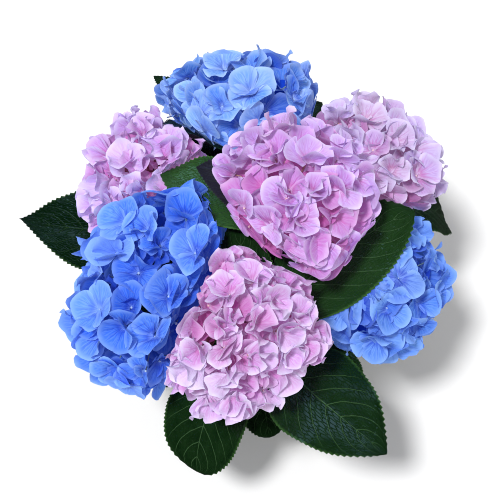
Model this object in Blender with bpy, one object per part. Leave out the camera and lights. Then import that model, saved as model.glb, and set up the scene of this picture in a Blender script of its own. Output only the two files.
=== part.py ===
"""Mophead hydrangea shrub, rooted in the ground: a short woody foot, seven canes that spring from it,
a leafy shoot on each cane and a round flower head on each shoot.

Metres, +Z up. The origin is the centre of the flat cut under the foot, at ground level, and the
plant's front faces -Y.
"""

import math
import random
from collections import namedtuple

import bmesh
import bpy
from mathutils import Matrix, Vector
from mathutils.bvhtree import BVHTree

UP = Vector((0, 0, 1))

# Woody foot
FOOT_HEIGHT = 0.058
FOOT_SHOULDER = 0.040
FOOT_FLARE_RADIUS = 0.031
FOOT_NECK_RADIUS = 0.0165
FOOT_LEAN = Vector((0.004, 0.002, 0.0))  # how far the top stands off the base
FOOT_STEPS = 20
FOOT_RIDGES = 5
FOOT_RIDGE_DEPTH = 0.13

# Each stem is one curve in three lengths: the cane, the leafy shoot and the flower stalk
CENTRAL_HEAD = "pink_centre"  # its stem springs from the top of the foot, the others from its side
STEM_ROOT_RADIUS = 0.0056
STEM_TIP_RADIUS = 0.0028
STEM_STEPS = 14
STEM_SPREAD = 0.60  # where the curve bends, as a share of its reach
STEM_RISE = 0.42  # and of its height
SHOOT_FROM = 0.34
STALK_FROM = 0.885
LENGTH_GAP = 0.0016  # share of a stem left open between two of its lengths
JOINT_GAP = 0.0004  # between a cane and the foot

# Leaves
PAIR_SHARES = (0.79, 0.67, 0.54, 0.42)  # places of the leaf pairs on a stem
PAIR_LENGTHS = (0.112, 0.134, 0.138, 0.118)
PAIR_RISES = (20.0, 14.0, 6.0, 0.0)  # degrees above level where a blade begins
PAIR_DROOPS = (46.0, 52.0, 50.0, 42.0)  # degrees it bends down by its tip
BLADE_ASPECT = 0.64
BLADE_FOLD = 11.0  # degrees each half is turned up from the midrib
BLADE_THICKNESS = 0.0019
BLADE_STATIONS = (0.06, 0.22, 0.42, 0.64, 0.84)
PETIOLE_SHARE = 0.20  # of the blade's length
PETIOLE_RADIUS = 0.0019
LEAF_GUARD = 0.0008  # how much fatter a leaf is when it is tested against its neighbours
LEAF_TRIES = 14
LOWEST_LEAF = 0.012

# Flower heads
HEAD_GAP = 0.0012  # from the plane that a head shares with a neighbour
CORE_SHARE = 0.72  # the core's size, as a share of the head's
FLORET_SPACING = 0.0485
FLORET_RADIUS = 0.0255
FLORET_DEPTH = 0.026
FLORET_DIMPLE = 0.006
FLORET_CUP = 0.003
FLORET_TILT = 16.0
FLORET_SIDES = 12
SEPALS = 4
UNDERSIDE = -0.60  # florets stop at this height of the head's unit ball
MOST_PRESSED = 0.014  # a floret that its neighbours would press in further has no room
GOLDEN_ANGLE = math.pi * (3 - math.sqrt(5))

# half_long, half_short, top and bottom are the ball's four reaches, turn is its long side's azimuth,
# lean is how far it leans outward and first_pair is the azimuth of its topmost leaf pair
Head = namedtuple("Head", "name centre half_long half_short top bottom turn lean first_pair")

HEADS = (
    Head("blue_back", (-0.018, 0.140, 0.330), 0.088, 0.074, 0.055, 0.042, 0, 40, 172),
    Head("pink_left", (-0.124, 0.052, 0.325), 0.076, 0.074, 0.058, 0.044, 60, 26, 112),
    Head("pink_centre", (0.041, 0.000, 0.388), 0.093, 0.088, 0.066, 0.048, 110, 4, 75),
    Head("pink_right", (0.124, 0.072, 0.333), 0.076, 0.074, 0.058, 0.044, 110, 26, 62),
    Head("blue_left", (-0.112, -0.080, 0.340), 0.114, 0.084, 0.064, 0.047, 71, 16, 196),
    Head("pink_front", (-0.014, -0.126, 0.340), 0.086, 0.084, 0.065, 0.048, 0, 16, 232),
    Head("blue_right", (0.130, -0.054, 0.288), 0.086, 0.079, 0.056, 0.044, 120, 22, 8),
)

# Leaves whose lie is the plant's own; the angles are in degrees, and a negative droop bends upward
Leaf = namedtuple("Leaf", "head share azimuth rise droop length roll aspect")

SHOW_LEAVES = (
    Leaf("pink_front", 0.74, -42, 14, 34, 0.164, -6, 0.68),
    Leaf("pink_front", 0.64, -108, 12, 62, 0.136, 4, 0.66),
    Leaf("pink_front", 0.53, -80, 8, 44, 0.112, 0, 0.66),
    Leaf("pink_left", 0.72, 176, 18, 36, 0.146, -6, 0.62),
    Leaf("pink_front", 0.86, 33, 26, 16, 0.184, -3, 0.63),
    Leaf("pink_centre", 0.86, 169, 34, 40, 0.130, 16, 0.60),
    Leaf("pink_front", 0.82, 96, 61, 50, 0.116, 8, 0.57),
    Leaf("blue_back", 0.83, 195, 52, 0, 0.118, 40, 0.66),
    Leaf("blue_back", 0.86, 135, 12, 45, 0.130, 6, 0.58),
    Leaf("blue_back", 0.80, 46, 7, 53, 0.130, 0, 0.50),
    Leaf("pink_right", 0.80, 16, -8, 58, 0.130, -4, 0.65),
)

TINTS = {
    "bark": ((0.20, 0.14, 0.09), 0.85),
    "green_stem": ((0.17, 0.27, 0.09), 0.6),
    "leaf": ((0.03, 0.11, 0.03), 0.45),
    "pink_sepal": ((0.85, 0.50, 0.68), 0.6),
    "blue_sepal": ((0.20, 0.36, 0.86), 0.6),
}


def clear_scene():
    """Empties the scene."""
    for old in list(bpy.data.objects):
        bpy.data.objects.remove(old)


def new_collection(name):
    """A collection in the scene."""
    made = bpy.data.collections.new(name)
    bpy.context.scene.collection.children.link(made)
    return made


def new_materials():
    """A Principled material for each tint."""
    made = {}
    for name, (colour, roughness) in TINTS.items():
        made[name] = bpy.data.materials.new(name)
        made[name].use_nodes = True
        shader = made[name].node_tree.nodes["Principled BSDF"]
        shader.inputs["Base Color"].default_value = (*colour, 1)
        shader.inputs["Roughness"].default_value = roughness
    return made


def heading(degrees):
    """The level unit vector of an azimuth."""
    angle = math.radians(degrees)
    return Vector((math.cos(angle), math.sin(angle), 0))


def object_of(bm, name, collection):
    """Turns a bmesh into an object of that name."""
    bmesh.ops.triangulate(bm, faces=bm.faces)
    bmesh.ops.recalc_face_normals(bm, faces=bm.faces)
    mesh = bpy.data.meshes.new(name)
    bm.to_mesh(mesh)
    bm.free()
    made = bpy.data.objects.new(name, mesh)
    collection.objects.link(made)
    return made


def evaluated_mesh(source):
    """The mesh that an object's modifiers make of it."""
    graph = bpy.context.evaluated_depsgraph_get()
    return bpy.data.meshes.new_from_object(source.evaluated_get(graph))


def boolean(base, operation, others):
    """Joins others to base or cuts them from it, and removes them."""
    group = bpy.data.collections.new("operands")
    for other in others:
        group.objects.link(other)
    modifier = base.modifiers.new(operation, "BOOLEAN")
    modifier.operation = operation
    modifier.operand_type = "COLLECTION"
    modifier.collection = group
    modifier.solver = "MANIFOLD"
    base.data = evaluated_mesh(base)
    base.modifiers.clear()
    for other in others:
        bpy.data.objects.remove(other)
    bpy.data.collections.remove(group)


def islands(bm):
    """The separate shells of a bmesh, each a set of faces."""
    left = set(bm.faces)
    found = []
    while left:
        shell, queue = set(), [next(iter(left))]
        while queue:
            face = queue.pop()
            if face not in shell:
                shell.add(face)
                queue.extend(n for e in face.edges for n in e.link_faces if n not in shell)
        found.append(shell)
        left -= shell
    return found


def keep_outer_shell(made):
    """Fills the hollows that joining has sealed, and drops loose scraps."""
    bm = bmesh.new()
    bm.from_mesh(made.data)
    bmesh.ops.dissolve_degenerate(bm, edges=bm.edges, dist=2e-6)
    bmesh.ops.triangulate(bm, faces=bm.faces)
    shells = sorted(islands(bm), key=len)
    spare = [face for shell in shells[:-1] for face in shell]
    bmesh.ops.delete(bm, geom=spare, context="FACES")
    bm.to_mesh(made.data)
    bm.free()


def tube(name, points, radii, collection):
    """A round stem through the points with a radius at each, closed at both ends."""
    curve = bpy.data.curves.new(name, "CURVE")
    curve.dimensions = "3D"
    curve.bevel_depth = 1.0
    curve.bevel_resolution = 1
    curve.use_fill_caps = True
    spline = curve.splines.new("POLY")
    spline.points.add(len(points) - 1)
    for knot, point, radius in zip(spline.points, points, radii):
        knot.co = (*point, 1)
        knot.radius = radius
    source = bpy.data.objects.new(name + "_line", curve)
    collection.objects.link(source)
    bm = bmesh.new()
    bm.from_mesh(evaluated_mesh(source))
    bmesh.ops.remove_doubles(bm, verts=bm.verts, dist=1e-5)
    bpy.data.objects.remove(source)
    return object_of(bm, name, collection)


def tree_of(source):
    """A search tree of an object's faces."""
    bm = bmesh.new()
    bm.from_mesh(source.data)
    tree = BVHTree.FromBMesh(bm)
    bm.free()
    return tree


class FlowerHead:
    """The space one flower head holds: a flattened ball, cut flat where it meets its neighbours."""

    def __init__(self, spec):
        self.spec = spec
        self.centre = Vector(spec.centre)
        self.outward = Vector((self.centre.x, self.centre.y, 0)).normalized()
        lean = math.radians(spec.lean)
        self.axis = self.outward * math.sin(lean) + UP * math.cos(lean)
        side = self.axis.cross(heading(spec.turn)).normalized()
        self.frame = Matrix((side.cross(self.axis), side, self.axis)).transposed()
        self.planes = []
        self.florets = round(4 * math.pi * spec.half_long * spec.half_short / FLORET_SPACING**2)

    def sizes(self, height):
        """The ball's half sizes, on its upper or its lower side."""
        spec = self.spec
        return Vector((spec.half_long, spec.half_short, spec.top if height > 0 else spec.bottom))

    def surface(self, unit, share=1.0):
        """The surface point that a point of the unit ball stands for, at a share of the ball's size."""
        local = Vector(a * b for a, b in zip(unit, self.sizes(unit.z)))
        return self.centre + self.frame @ local * share

    def normal(self, unit):
        """The ball's outward direction there."""
        return (self.frame @ Vector(a / b for a, b in zip(unit, self.sizes(unit.z)))).normalized()

    def reach(self, direction):
        """The ball's radius in a direction."""
        local = self.frame.transposed() @ direction.normalized()
        return 1 / math.sqrt(sum((a / b) ** 2 for a, b in zip(local, self.sizes(local.z))))

    def pressed(self, point):
        """A point moved back out of the neighbours' space."""
        moved = point.copy()
        for normal, offset in self.planes:
            over = normal.dot(moved - self.centre) - offset
            moved -= normal * max(over, 0)
        return moved

    def stem_point(self, share):
        """A point of the head's stem: a curve from the foot, out and then up, into the head."""
        central = self.spec.name == CENTRAL_HEAD
        start = FOOT_LEAN * 0.8 + self.outward * (0 if central else FOOT_NECK_RADIUS * 0.45)
        start.z = FOOT_SHOULDER * (1 if central else 0.72)
        end = self.centre - self.axis * self.spec.bottom * 0.3
        bend = start + (end - start) * STEM_SPREAD
        bend.z = start.z + (end.z - start.z) * STEM_RISE
        rest = 1 - share
        return start * rest * rest + bend * 2 * rest * share + end * share * share

    def stem_length(self, name, first, last, collection):
        """One length of the head's stem."""
        count = max(3, round(STEM_STEPS * (last - first)) + 1)
        shares = [first + (last - first) * step / (count - 1) for step in range(count)]
        radii = [STEM_ROOT_RADIUS + (STEM_TIP_RADIUS - STEM_ROOT_RADIUS) * s for s in shares]
        return tube(name, [self.stem_point(s) for s in shares], radii, collection)

    def core(self, collection):
        """The head's solid middle."""
        bm = bmesh.new()
        bmesh.ops.create_icosphere(bm, subdivisions=2, radius=1)
        for vertex in bm.verts:
            vertex.co = self.surface(vertex.co.normalized(), CORE_SHARE)
        for normal, offset in self.planes:
            cut = bmesh.ops.bisect_plane(
                bm,
                geom=bm.verts[:] + bm.edges[:] + bm.faces[:],
                dist=1e-6,
                plane_co=self.centre + normal * offset,
                plane_no=normal,
                clear_outer=True,
            )
            rim = [e for e in cut["geom_cut"] if isinstance(e, bmesh.types.BMEdge)]
            if rim:
                bmesh.ops.edgeloop_fill(bm, edges=rim)
        return object_of(bm, "core", collection)

    def floret(self, number, collection):
        """One floret, a four-lobed cone with its point in the core, or None where it has no room."""
        dice = random.Random(f"{self.spec.name} floret {number}")
        height = 1 - (2 * number + 1) / self.florets
        ring = math.sqrt(1 - height * height)
        angle = number * GOLDEN_ANGLE
        unit = Vector((math.cos(angle) * ring, math.sin(angle) * ring, height))
        spot = self.surface(unit)
        if height < UNDERSIDE or (self.pressed(spot) - spot).length > MOST_PRESSED:
            return None
        spot = self.pressed(spot)
        lean = Matrix.Rotation(math.radians(dice.uniform(-1, 1) * FLORET_TILT), 3, "X")
        lean = Matrix.Rotation(math.radians(dice.uniform(-1, 1) * FLORET_TILT), 3, "Y") @ lean
        turn = Matrix.Rotation(dice.uniform(0, math.tau), 3, "Z")
        facing = self.normal(unit).to_track_quat("Z", "Y").to_matrix() @ lean @ turn
        size = FLORET_RADIUS * dice.uniform(0.93, 1.07)
        bm = bmesh.new()
        bmesh.ops.create_uvsphere(bm, u_segments=FLORET_SIDES, v_segments=2, radius=1)
        for vertex in bm.verts:
            flat = Vector((vertex.co.x, vertex.co.y, 0))
            if flat.length > 0.5:
                lobe = abs(math.sin(SEPALS / 2 * math.atan2(flat.y, flat.x)))
                local = flat * size * (0.80 + 0.20 * lobe) + UP * FLORET_CUP * lobe
            else:
                local = UP * -(FLORET_DIMPLE if vertex.co.z > 0 else FLORET_DEPTH)
            vertex.co = self.pressed(spot + facing @ local)
        return object_of(bm, "floret", collection)


def part_neighbours(heads):
    """Gives each two heads that come near each other the plane that parts them."""
    for first in heads:
        for second in heads:
            between = second.centre - first.centre
            span = between.length
            near = first.spec.half_long + second.spec.half_long + FLORET_RADIUS
            if first is not second and span < near:
                mine, theirs = first.reach(between), second.reach(-between)
                offset = (span * span + mine * mine - theirs * theirs) / (2 * span)
                first.planes.append((between.normalized(), offset - HEAD_GAP))


def foot(name, collection, grow=0.0):
    """The woody foot: a turned stump with a root flare, ridged and leaning a little."""
    profile = (
        (FOOT_FLARE_RADIUS, 0.0),
        (FOOT_FLARE_RADIUS * 0.80, 0.006),
        (FOOT_NECK_RADIUS * 1.22, 0.017),
        (FOOT_NECK_RADIUS, 0.028),
        (FOOT_NECK_RADIUS * 1.06, FOOT_SHOULDER),
        (FOOT_NECK_RADIUS * 0.78, FOOT_HEIGHT * 0.90),
        (FOOT_NECK_RADIUS * 0.34, FOOT_HEIGHT + grow),
    )
    bm = bmesh.new()
    line = [bm.verts.new((radius + grow, 0, height)) for radius, height in profile]
    edges = [bm.edges.new(pair) for pair in zip(line, line[1:])]
    bmesh.ops.spin(
        bm, geom=line + edges, axis=(0, 0, 1), cent=(0, 0, 0), angle=math.tau,
        steps=FOOT_STEPS, use_merge=True,
    )
    bmesh.ops.remove_doubles(bm, verts=bm.verts, dist=1e-6)
    bmesh.ops.holes_fill(bm, edges=bm.edges, sides=0)
    for vertex in bm.verts:
        height = vertex.co.z / FOOT_HEIGHT
        angle = math.atan2(vertex.co.y, vertex.co.x)
        ridge = 1 + FOOT_RIDGE_DEPTH * math.cos(FOOT_RIDGES * angle) * (1 - min(height, 1)) ** 2
        vertex.co.x *= ridge
        vertex.co.y *= ridge
        vertex.co += FOOT_LEAN * height
    return object_of(bm, name, collection)


def blade_half_width(share):
    """Half the blade's width at a share of its length, where 1 is the widest."""
    return share**0.70 * (1 - share) ** 0.95 / 0.3247 * 0.5


def paired_leaves(spec):
    """The leaves a stem bears in pairs, each pair across the one above it, in several tries each."""
    for level, share in enumerate(PAIR_SHARES):
        for side in (0, 1):
            tries = []
            for attempt in range(LEAF_TRIES):
                dice = random.Random(f"{spec.name} {level} {side} {attempt}")
                azimuth = spec.first_pair + 90 * level + 180 * side
                tries.append(Leaf(
                    spec.name,
                    share,
                    azimuth + dice.uniform(-1, 1) * (8 + 4 * attempt),
                    PAIR_RISES[level] + dice.uniform(-1, 1) * (3 + 2 * attempt),
                    PAIR_DROOPS[level] + dice.uniform(-1, 1) * 8,
                    PAIR_LENGTHS[level] * (1 - 0.025 * attempt) * dice.uniform(0.95, 1.05),
                    dice.uniform(-1, 1) * (6 + attempt),
                    BLADE_ASPECT,
                ))
            yield tries


def midrib(leaf, root, distance):
    """The midrib's point at a distance from the stem's centre, with the leaf's sideways and upward there."""
    petiole = leaf.length * PETIOLE_SHARE
    out = heading(leaf.azimuth)
    point, steps = root.copy(), 12
    for step in range(steps + 1):
        bent = max(0.0, distance * step / steps - petiole) / leaf.length
        angle = math.radians(leaf.rise - leaf.droop * bent)
        along = out * math.cos(angle) + UP * math.sin(angle)
        if step < steps:
            point += along * distance / steps
    side = Matrix.Rotation(math.radians(leaf.roll), 3, along) @ UP.cross(out)
    return point, side, along.cross(side)


def leaf_bmesh(leaf, root, grow=0.0):
    """A petiole and a blade as one closed loft that ends in a point."""
    petiole = leaf.length * PETIOLE_SHARE
    fold = math.radians(BLADE_FOLD)
    sections = []
    for distance in (0.0, petiole * 0.5, petiole):
        point, side, up = midrib(leaf, root, distance)
        radius = PETIOLE_RADIUS + grow
        sections.append([point + side * radius, point + up * radius,
                         point - side * radius, point - up * radius])
    for share in BLADE_STATIONS:
        point, side, up = midrib(leaf, root, petiole + share * leaf.length)
        half = leaf.length * leaf.aspect * blade_half_width(share) + grow
        across, lift = side * half * math.cos(fold), up * half * math.sin(fold)
        thick = BLADE_THICKNESS * (1.3 - share) + grow * 2
        sections.append([point + across + lift, point + up * thick * 0.4,
                         point - across + lift, point - up * thick * 0.6])
    bm = bmesh.new()
    bmesh.ops.create_circle(bm, segments=4, radius=PETIOLE_RADIUS, cap_ends=True)
    face = bm.faces[:][0]
    for vertex, point in zip(face.verts, sections[0]):
        vertex.co = point
    for number, section in enumerate(sections[1:]):
        made = bmesh.ops.extrude_face_region(bm, geom=[face])
        if number > 0:
            bmesh.ops.delete(bm, geom=[face], context="FACES_ONLY")
        face = next(g for g in made["geom"] if isinstance(g, bmesh.types.BMFace))
        for vertex, point in zip(face.verts, section):
            vertex.co = point
    tip = midrib(leaf, root, petiole + leaf.length)[0]
    bmesh.ops.pointmerge(bm, verts=face.verts[:], merge_co=tip)
    bmesh.ops.triangulate(bm, faces=bm.faces)
    return bm


def leaf_fits(leaf, root, taken):
    """Whether a leaf is above the ground and clear of all that is already there."""
    guard = leaf_bmesh(leaf, root, LEAF_GUARD)
    lowest = min(vertex.co.z for vertex in guard.verts)
    tree = BVHTree.FromBMesh(guard)
    guard.free()
    return lowest > LOWEST_LEAF and not any(tree.overlap(other) for other in taken)


def place_leaves(heads, stems, solids):
    """Finds a lie for each leaf and leaves out those that find none: the leaves of each stem."""
    placed = {head.spec.name: [] for head in heads}
    trees = list(solids)
    wanted = [[leaf] for leaf in SHOW_LEAVES]
    rows = [list(paired_leaves(head.spec)) for head in heads]
    wanted += [tries for level in zip(*rows) for tries in level]
    by_name = {head.spec.name: head for head in heads}
    for tries in wanted:
        others = [tree for name, tree in stems.items() if name != tries[0].head]
        for leaf in tries:
            root = by_name[leaf.head].stem_point(leaf.share)
            if leaf_fits(leaf, root, others + trees):
                placed[leaf.head].append(leaf)
                trees.append(BVHTree.FromBMesh(leaf_bmesh(leaf, root)))
                break
        else:
            print(f"left out: {tries[0]}")
    return placed, trees[len(solids):]


def finish(made, material):
    """Cleans a node and gives it its material."""
    keep_outer_shell(made)
    made.data.materials.clear()
    made.data.materials.append(material)
    for face in made.data.polygons:
        face.use_smooth = False
        face.material_index = 0
    print(f"{made.name}: {len(made.data.polygons)} triangles")


def main():
    """Builds the shrub."""
    clear_scene()
    shrub = new_collection("hydrangea_shrub")
    cutters = new_collection("cutters")
    materials = new_materials()
    heads = [FlowerHead(spec) for spec in HEADS]
    part_neighbours(heads)

    trunk = foot("trunk", shrub)
    finish(trunk, materials["bark"])
    stems, solids = {}, [tree_of(trunk)]
    for head in heads:
        whole = head.stem_length("whole_stem", 0.12, 1.0, cutters)
        core = head.core(cutters)
        stems[head.spec.name] = tree_of(whole)
        solids.append(tree_of(core))
        bpy.data.objects.remove(whole)
        bpy.data.objects.remove(core)
    placed, leaf_trees = place_leaves(heads, stems, solids)

    for head in heads:
        name = head.spec.name
        cane = head.stem_length(f"cane_{name}", 0.0, SHOOT_FROM - LENGTH_GAP, shrub)
        boolean(cane, "DIFFERENCE", [foot("foot_cutter", cutters, JOINT_GAP)])
        finish(cane, materials["bark"])

        shoot = head.stem_length(f"foliage_{name}", SHOOT_FROM, STALK_FROM - LENGTH_GAP, shrub)
        roots = [head.stem_point(leaf.share) for leaf in placed[name]]
        leaves = [object_of(leaf_bmesh(leaf, root), "leaf", cutters)
                  for leaf, root in zip(placed[name], roots)]
        boolean(shoot, "UNION", leaves)
        finish(shoot, materials["leaf"])

        bloom = head.core(shrub)
        bloom.name = f"flower_head_{name}"
        florets = []
        for number in range(head.florets):
            floret = head.floret(number, cutters)
            if floret is None:
                continue
            tree = tree_of(floret)
            if any(tree.overlap(other) for other in leaf_trees):
                bpy.data.objects.remove(floret)
                continue
            florets.append(floret)
        stalk = head.stem_length("stalk", STALK_FROM, 1.0, cutters)
        boolean(bloom, "UNION", florets + [stalk])
        finish(bloom, materials["blue_sepal" if name.startswith("blue") else "pink_sepal"])
        print(f"{name}: {len(placed[name])} leaves, {len(florets)} florets")
    bpy.data.collections.remove(cutters)


main()
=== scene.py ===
"""Hydrangea shrub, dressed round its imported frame.

Metres, +Z up, in the frame of the solids. The shrub has a woody foot, seven canes, green shoots with
toothed and quilted leaves, and a mophead of four-sepalled florets on each shoot.
"""

from __future__ import annotations

import logging
import math
import random
from collections.abc import Iterator, Sequence
from dataclasses import dataclass, field, replace
from enum import Enum

import bmesh
import bpy
import numpy as np
from mathutils import Matrix, Vector
from mathutils.kdtree import KDTree

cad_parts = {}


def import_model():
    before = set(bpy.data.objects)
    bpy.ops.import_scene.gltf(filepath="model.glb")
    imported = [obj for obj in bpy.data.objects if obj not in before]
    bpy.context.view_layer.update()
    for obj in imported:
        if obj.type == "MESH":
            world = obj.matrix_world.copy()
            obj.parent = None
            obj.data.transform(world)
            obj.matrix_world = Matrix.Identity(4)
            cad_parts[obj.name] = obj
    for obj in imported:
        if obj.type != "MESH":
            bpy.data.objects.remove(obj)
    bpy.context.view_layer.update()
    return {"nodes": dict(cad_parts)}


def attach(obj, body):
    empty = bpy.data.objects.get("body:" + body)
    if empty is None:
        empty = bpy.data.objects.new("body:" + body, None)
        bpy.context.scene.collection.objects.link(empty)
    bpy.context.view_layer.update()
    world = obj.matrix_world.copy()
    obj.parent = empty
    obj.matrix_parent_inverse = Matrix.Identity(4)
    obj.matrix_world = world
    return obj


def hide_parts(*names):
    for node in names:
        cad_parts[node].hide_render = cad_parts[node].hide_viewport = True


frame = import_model()

LOG = logging.getLogger("hydrangea")
BODY = "root"
UP = Vector((0, 0, 1))
GOLDEN_ANGLE = math.pi * (3 - math.sqrt(5))
BAKE_MAP = "OFBake"
BLADE_MAP = "blade"
PETAL_MAP = "petal"
TONE = "tone"
AGE = "age"
WELD = 1e-6  # corners nearer to each other than this become one
STALK_TIP = 0.0006  # the radius of a leaf's stalk where it ends in the blade

Colour = tuple[float, float, float]


class Slot(Enum):
    """The record's material slots."""

    BARK = "bark"
    CANE_BARK = "cane_bark"
    LEAF = "leaf"
    PINK_SEPAL = "pink_sepal"
    BLUE_SEPAL = "blue_sepal"


class Family(Enum):
    """The two colours of flower head that the shrub bears."""

    PINK = "pink"
    BLUE = "blue"


SEPAL_SLOTS = {Family.BLUE: Slot.BLUE_SEPAL, Family.PINK: Slot.PINK_SEPAL}


# ---------------------------------------------------------------------------------------------------
# Shader nodes


class Graph:
    """The shader nodes of one material or node group, each made and joined in one call."""

    def __init__(self, tree: bpy.types.NodeTree) -> None:
        """Starts on a tree.

        Args:
            tree: the node tree to add to.
        """
        self.tree = tree

    def feed(self, socket: bpy.types.NodeSocket, value: object) -> None:
        """Links a socket to another's output, or sets its value.

        Args:
            socket: the input.
            value: an output socket, a number, a vector or a colour.
        """
        if isinstance(value, bpy.types.NodeSocket):
            self.tree.links.new(value, socket)
        elif isinstance(value, tuple) and len(value) == 3 and len(socket.default_value) == 4:
            socket.default_value = (*value, 1)
        else:
            socket.default_value = value

    def node(self, kind: str, settings: dict[str, object] | None = None,
             inputs: dict[str | int, object] | None = None) -> bpy.types.Node:
        """Adds a node.

        Args:
            kind: the node's type, without ShaderNode.
            settings: its properties.
            inputs: what feeds its inputs, by name or place.

        Returns:
            The node.
        """
        made = self.tree.nodes.new("ShaderNode" + kind)
        for name, value in (settings or {}).items():
            setattr(made, name, value)
        for name, value in (inputs or {}).items():
            self.feed(made.inputs[name], value)
        return made

    def math(self, operation: str, *values: object) -> bpy.types.NodeSocket:
        """The result of a Math node.

        Args:
            operation: the node's operation.
            values: what feeds its inputs, in order.

        Returns:
            The node's output.
        """
        return self.node("Math", {"operation": operation}, dict(enumerate(values))).outputs[0]

    def smooth(self, value: object, low: float, high: float) -> bpy.types.NodeSocket:
        """A value eased from 0 at low to 1 at high.

        Args:
            value: the value.
            low: where the ease begins.
            high: where it ends.

        Returns:
            The eased value.
        """
        settings = {"interpolation_type": "SMOOTHSTEP"}
        inputs = {"Value": value, "From Min": low, "From Max": high}
        return self.node("MapRange", settings, inputs).outputs[0]

    def mix(self, share: object, first: object, second: object,
            blend: str = "MIX") -> bpy.types.NodeSocket:
        """Two colours mixed.

        Args:
            share: how much of the second.
            first: the colour at 0.
            second: the colour at 1.
            blend: the way of mixing.

        Returns:
            The mixed colour.
        """
        settings = {"data_type": "RGBA", "blend_type": blend}
        return self.node("Mix", settings, {0: share, 6: first, 7: second}).outputs[2]

    def noise(self, vector: object, scale: float, detail: float = 2.0) -> bpy.types.NodeSocket:
        """A noise from 0 to 1.

        Args:
            vector: where it is read.
            scale: its fineness.
            detail: how many finer noises are laid on it.

        Returns:
            The noise.
        """
        inputs = {"Vector": vector, "Scale": scale, "Detail": detail}
        return self.node("TexNoise", None, inputs).outputs[0]

    def group(self, tree: bpy.types.NodeTree, inputs: dict[str, object]) -> bpy.types.Node:
        """Places a node group.

        Args:
            tree: the group.
            inputs: what feeds its inputs.

        Returns:
            The group's node.
        """
        return self.node("Group", {"node_tree": tree}, inputs)


class Effect:
    """A shader node group with named inputs and outputs."""

    def __init__(self, name: str, inputs: dict[str, str], outputs: dict[str, str]) -> None:
        """Makes an empty group.

        Args:
            name: the group's name.
            inputs: the kind of each input, by name.
            outputs: the kind of each output, by name.
        """
        self.tree = bpy.data.node_groups.new(name, "ShaderNodeTree")
        for side, sockets in (("INPUT", inputs), ("OUTPUT", outputs)):
            for label, kind in sockets.items():
                self.tree.interface.new_socket(label, in_out=side, socket_type="NodeSocket" + kind)
        self.graph = Graph(self.tree)
        self.inside = self.tree.nodes.new("NodeGroupInput").outputs
        self.result = self.tree.nodes.new("NodeGroupOutput").inputs

    def put(self, **values: bpy.types.NodeSocket) -> bpy.types.NodeTree:
        """Feeds the outputs.

        Args:
            values: the socket for each output.

        Returns:
            The finished group.
        """
        for name, value in values.items():
            self.graph.feed(self.result[name], value)
        return self.tree


def petal_effect() -> bpy.types.NodeTree:
    """The colouring of a sepal: a deep throat, a fan of fine veins, a pale rim and a tone. The tone is
    partly its own and partly painted shade and light from where its floret lies in the head.

    Returns:
        The node group.
    """
    made = Effect(
        "Petal colouring",
        {"Place": "Vector", "Tone": "Float", "Age": "Float", "Body": "Color", "Throat": "Color",
         "Rim": "Color", "Vein": "Color", "Aged": "Color", "Vein Share": "Float"},
        {"Colour": "Color", "Height": "Float"},
    )
    g, inside = made.graph, made.inside
    split = g.node("SeparateXYZ", None, {0: inside["Place"]}).outputs
    across = g.math("MULTIPLY_ADD", split[0], 2.0, -1.0)
    along = split[1]
    level = g.math("MULTIPLY_ADD", along, 2.0, -1.0)
    out = g.math("SQRT", g.math("ADD", g.math("POWER", across, 2.0), g.math("POWER", level, 2.0)))
    ray = g.math("ARCTAN2", across, g.math("ADD", g.math("MULTIPLY", along, 1.7), 0.16))
    spot = g.node("CombineXYZ", None, {0: ray, 1: g.math("MULTIPLY", along, 0.35), 2: inside["Tone"]})
    waver = g.noise(spot.outputs[0], 7.0, 3.0)
    stripe = g.math("SINE", g.math("MULTIPLY_ADD", ray, 17.0, g.math("MULTIPLY", waver, 9.0)))
    vein = g.math("POWER", g.math("MULTIPLY_ADD", stripe, 0.5, 0.5), 6.0)
    fade = g.math("SUBTRACT", 1.0, g.smooth(along, 0.30, 0.96))
    vein = g.math("MULTIPLY", vein, g.math("MULTIPLY", fade, inside["Vein Share"]))
    fibre = g.math("SINE", g.math("MULTIPLY_ADD", ray, 46.0, g.math("MULTIPLY", waver, 16.0)))
    fibre = g.math("MULTIPLY", g.math("MULTIPLY_ADD", fibre, 0.5, 0.5), g.smooth(along, 0.1, 0.4))
    cloud = g.noise(spot.outputs[0], 2.6, 2.0)

    colour = g.mix(g.smooth(along, 0.02, 0.52), inside["Throat"], inside["Body"])
    colour = g.mix(g.math("MULTIPLY", inside["Age"], 0.85), colour, inside["Aged"])
    pale = g.math("MULTIPLY", g.smooth(out, 0.45, 1.02), g.math("MULTIPLY_ADD", cloud, 0.9, 0.25))
    pale = g.math("MAXIMUM", pale, g.math("MULTIPLY", g.smooth(out, 0.92, 1.0), 0.85))
    pale = g.math("MAXIMUM", pale, g.math("MULTIPLY", fibre, 0.34))
    colour = g.mix(pale, colour, inside["Rim"])
    colour = g.mix(vein, colour, inside["Vein"])
    # Partly painted light and shade: the tone lightens the sepal towards its rim and deepens it towards
    # its throat. Besides each sepal's own tone, it carries painted shade under other florets and painted
    # light across the head.
    lighter = g.math("MULTIPLY", g.math("MAXIMUM", inside["Tone"], 0.0), 0.55)
    deeper = g.math("MULTIPLY", g.math("MINIMUM", inside["Tone"], 0.0), -0.50)
    colour = g.mix(lighter, colour, inside["Rim"])
    colour = g.mix(deeper, colour, inside["Throat"])
    height = g.math("SUBTRACT", g.math("MULTIPLY", waver, 0.35), vein)
    return made.put(Colour=colour, Height=height)


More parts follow.
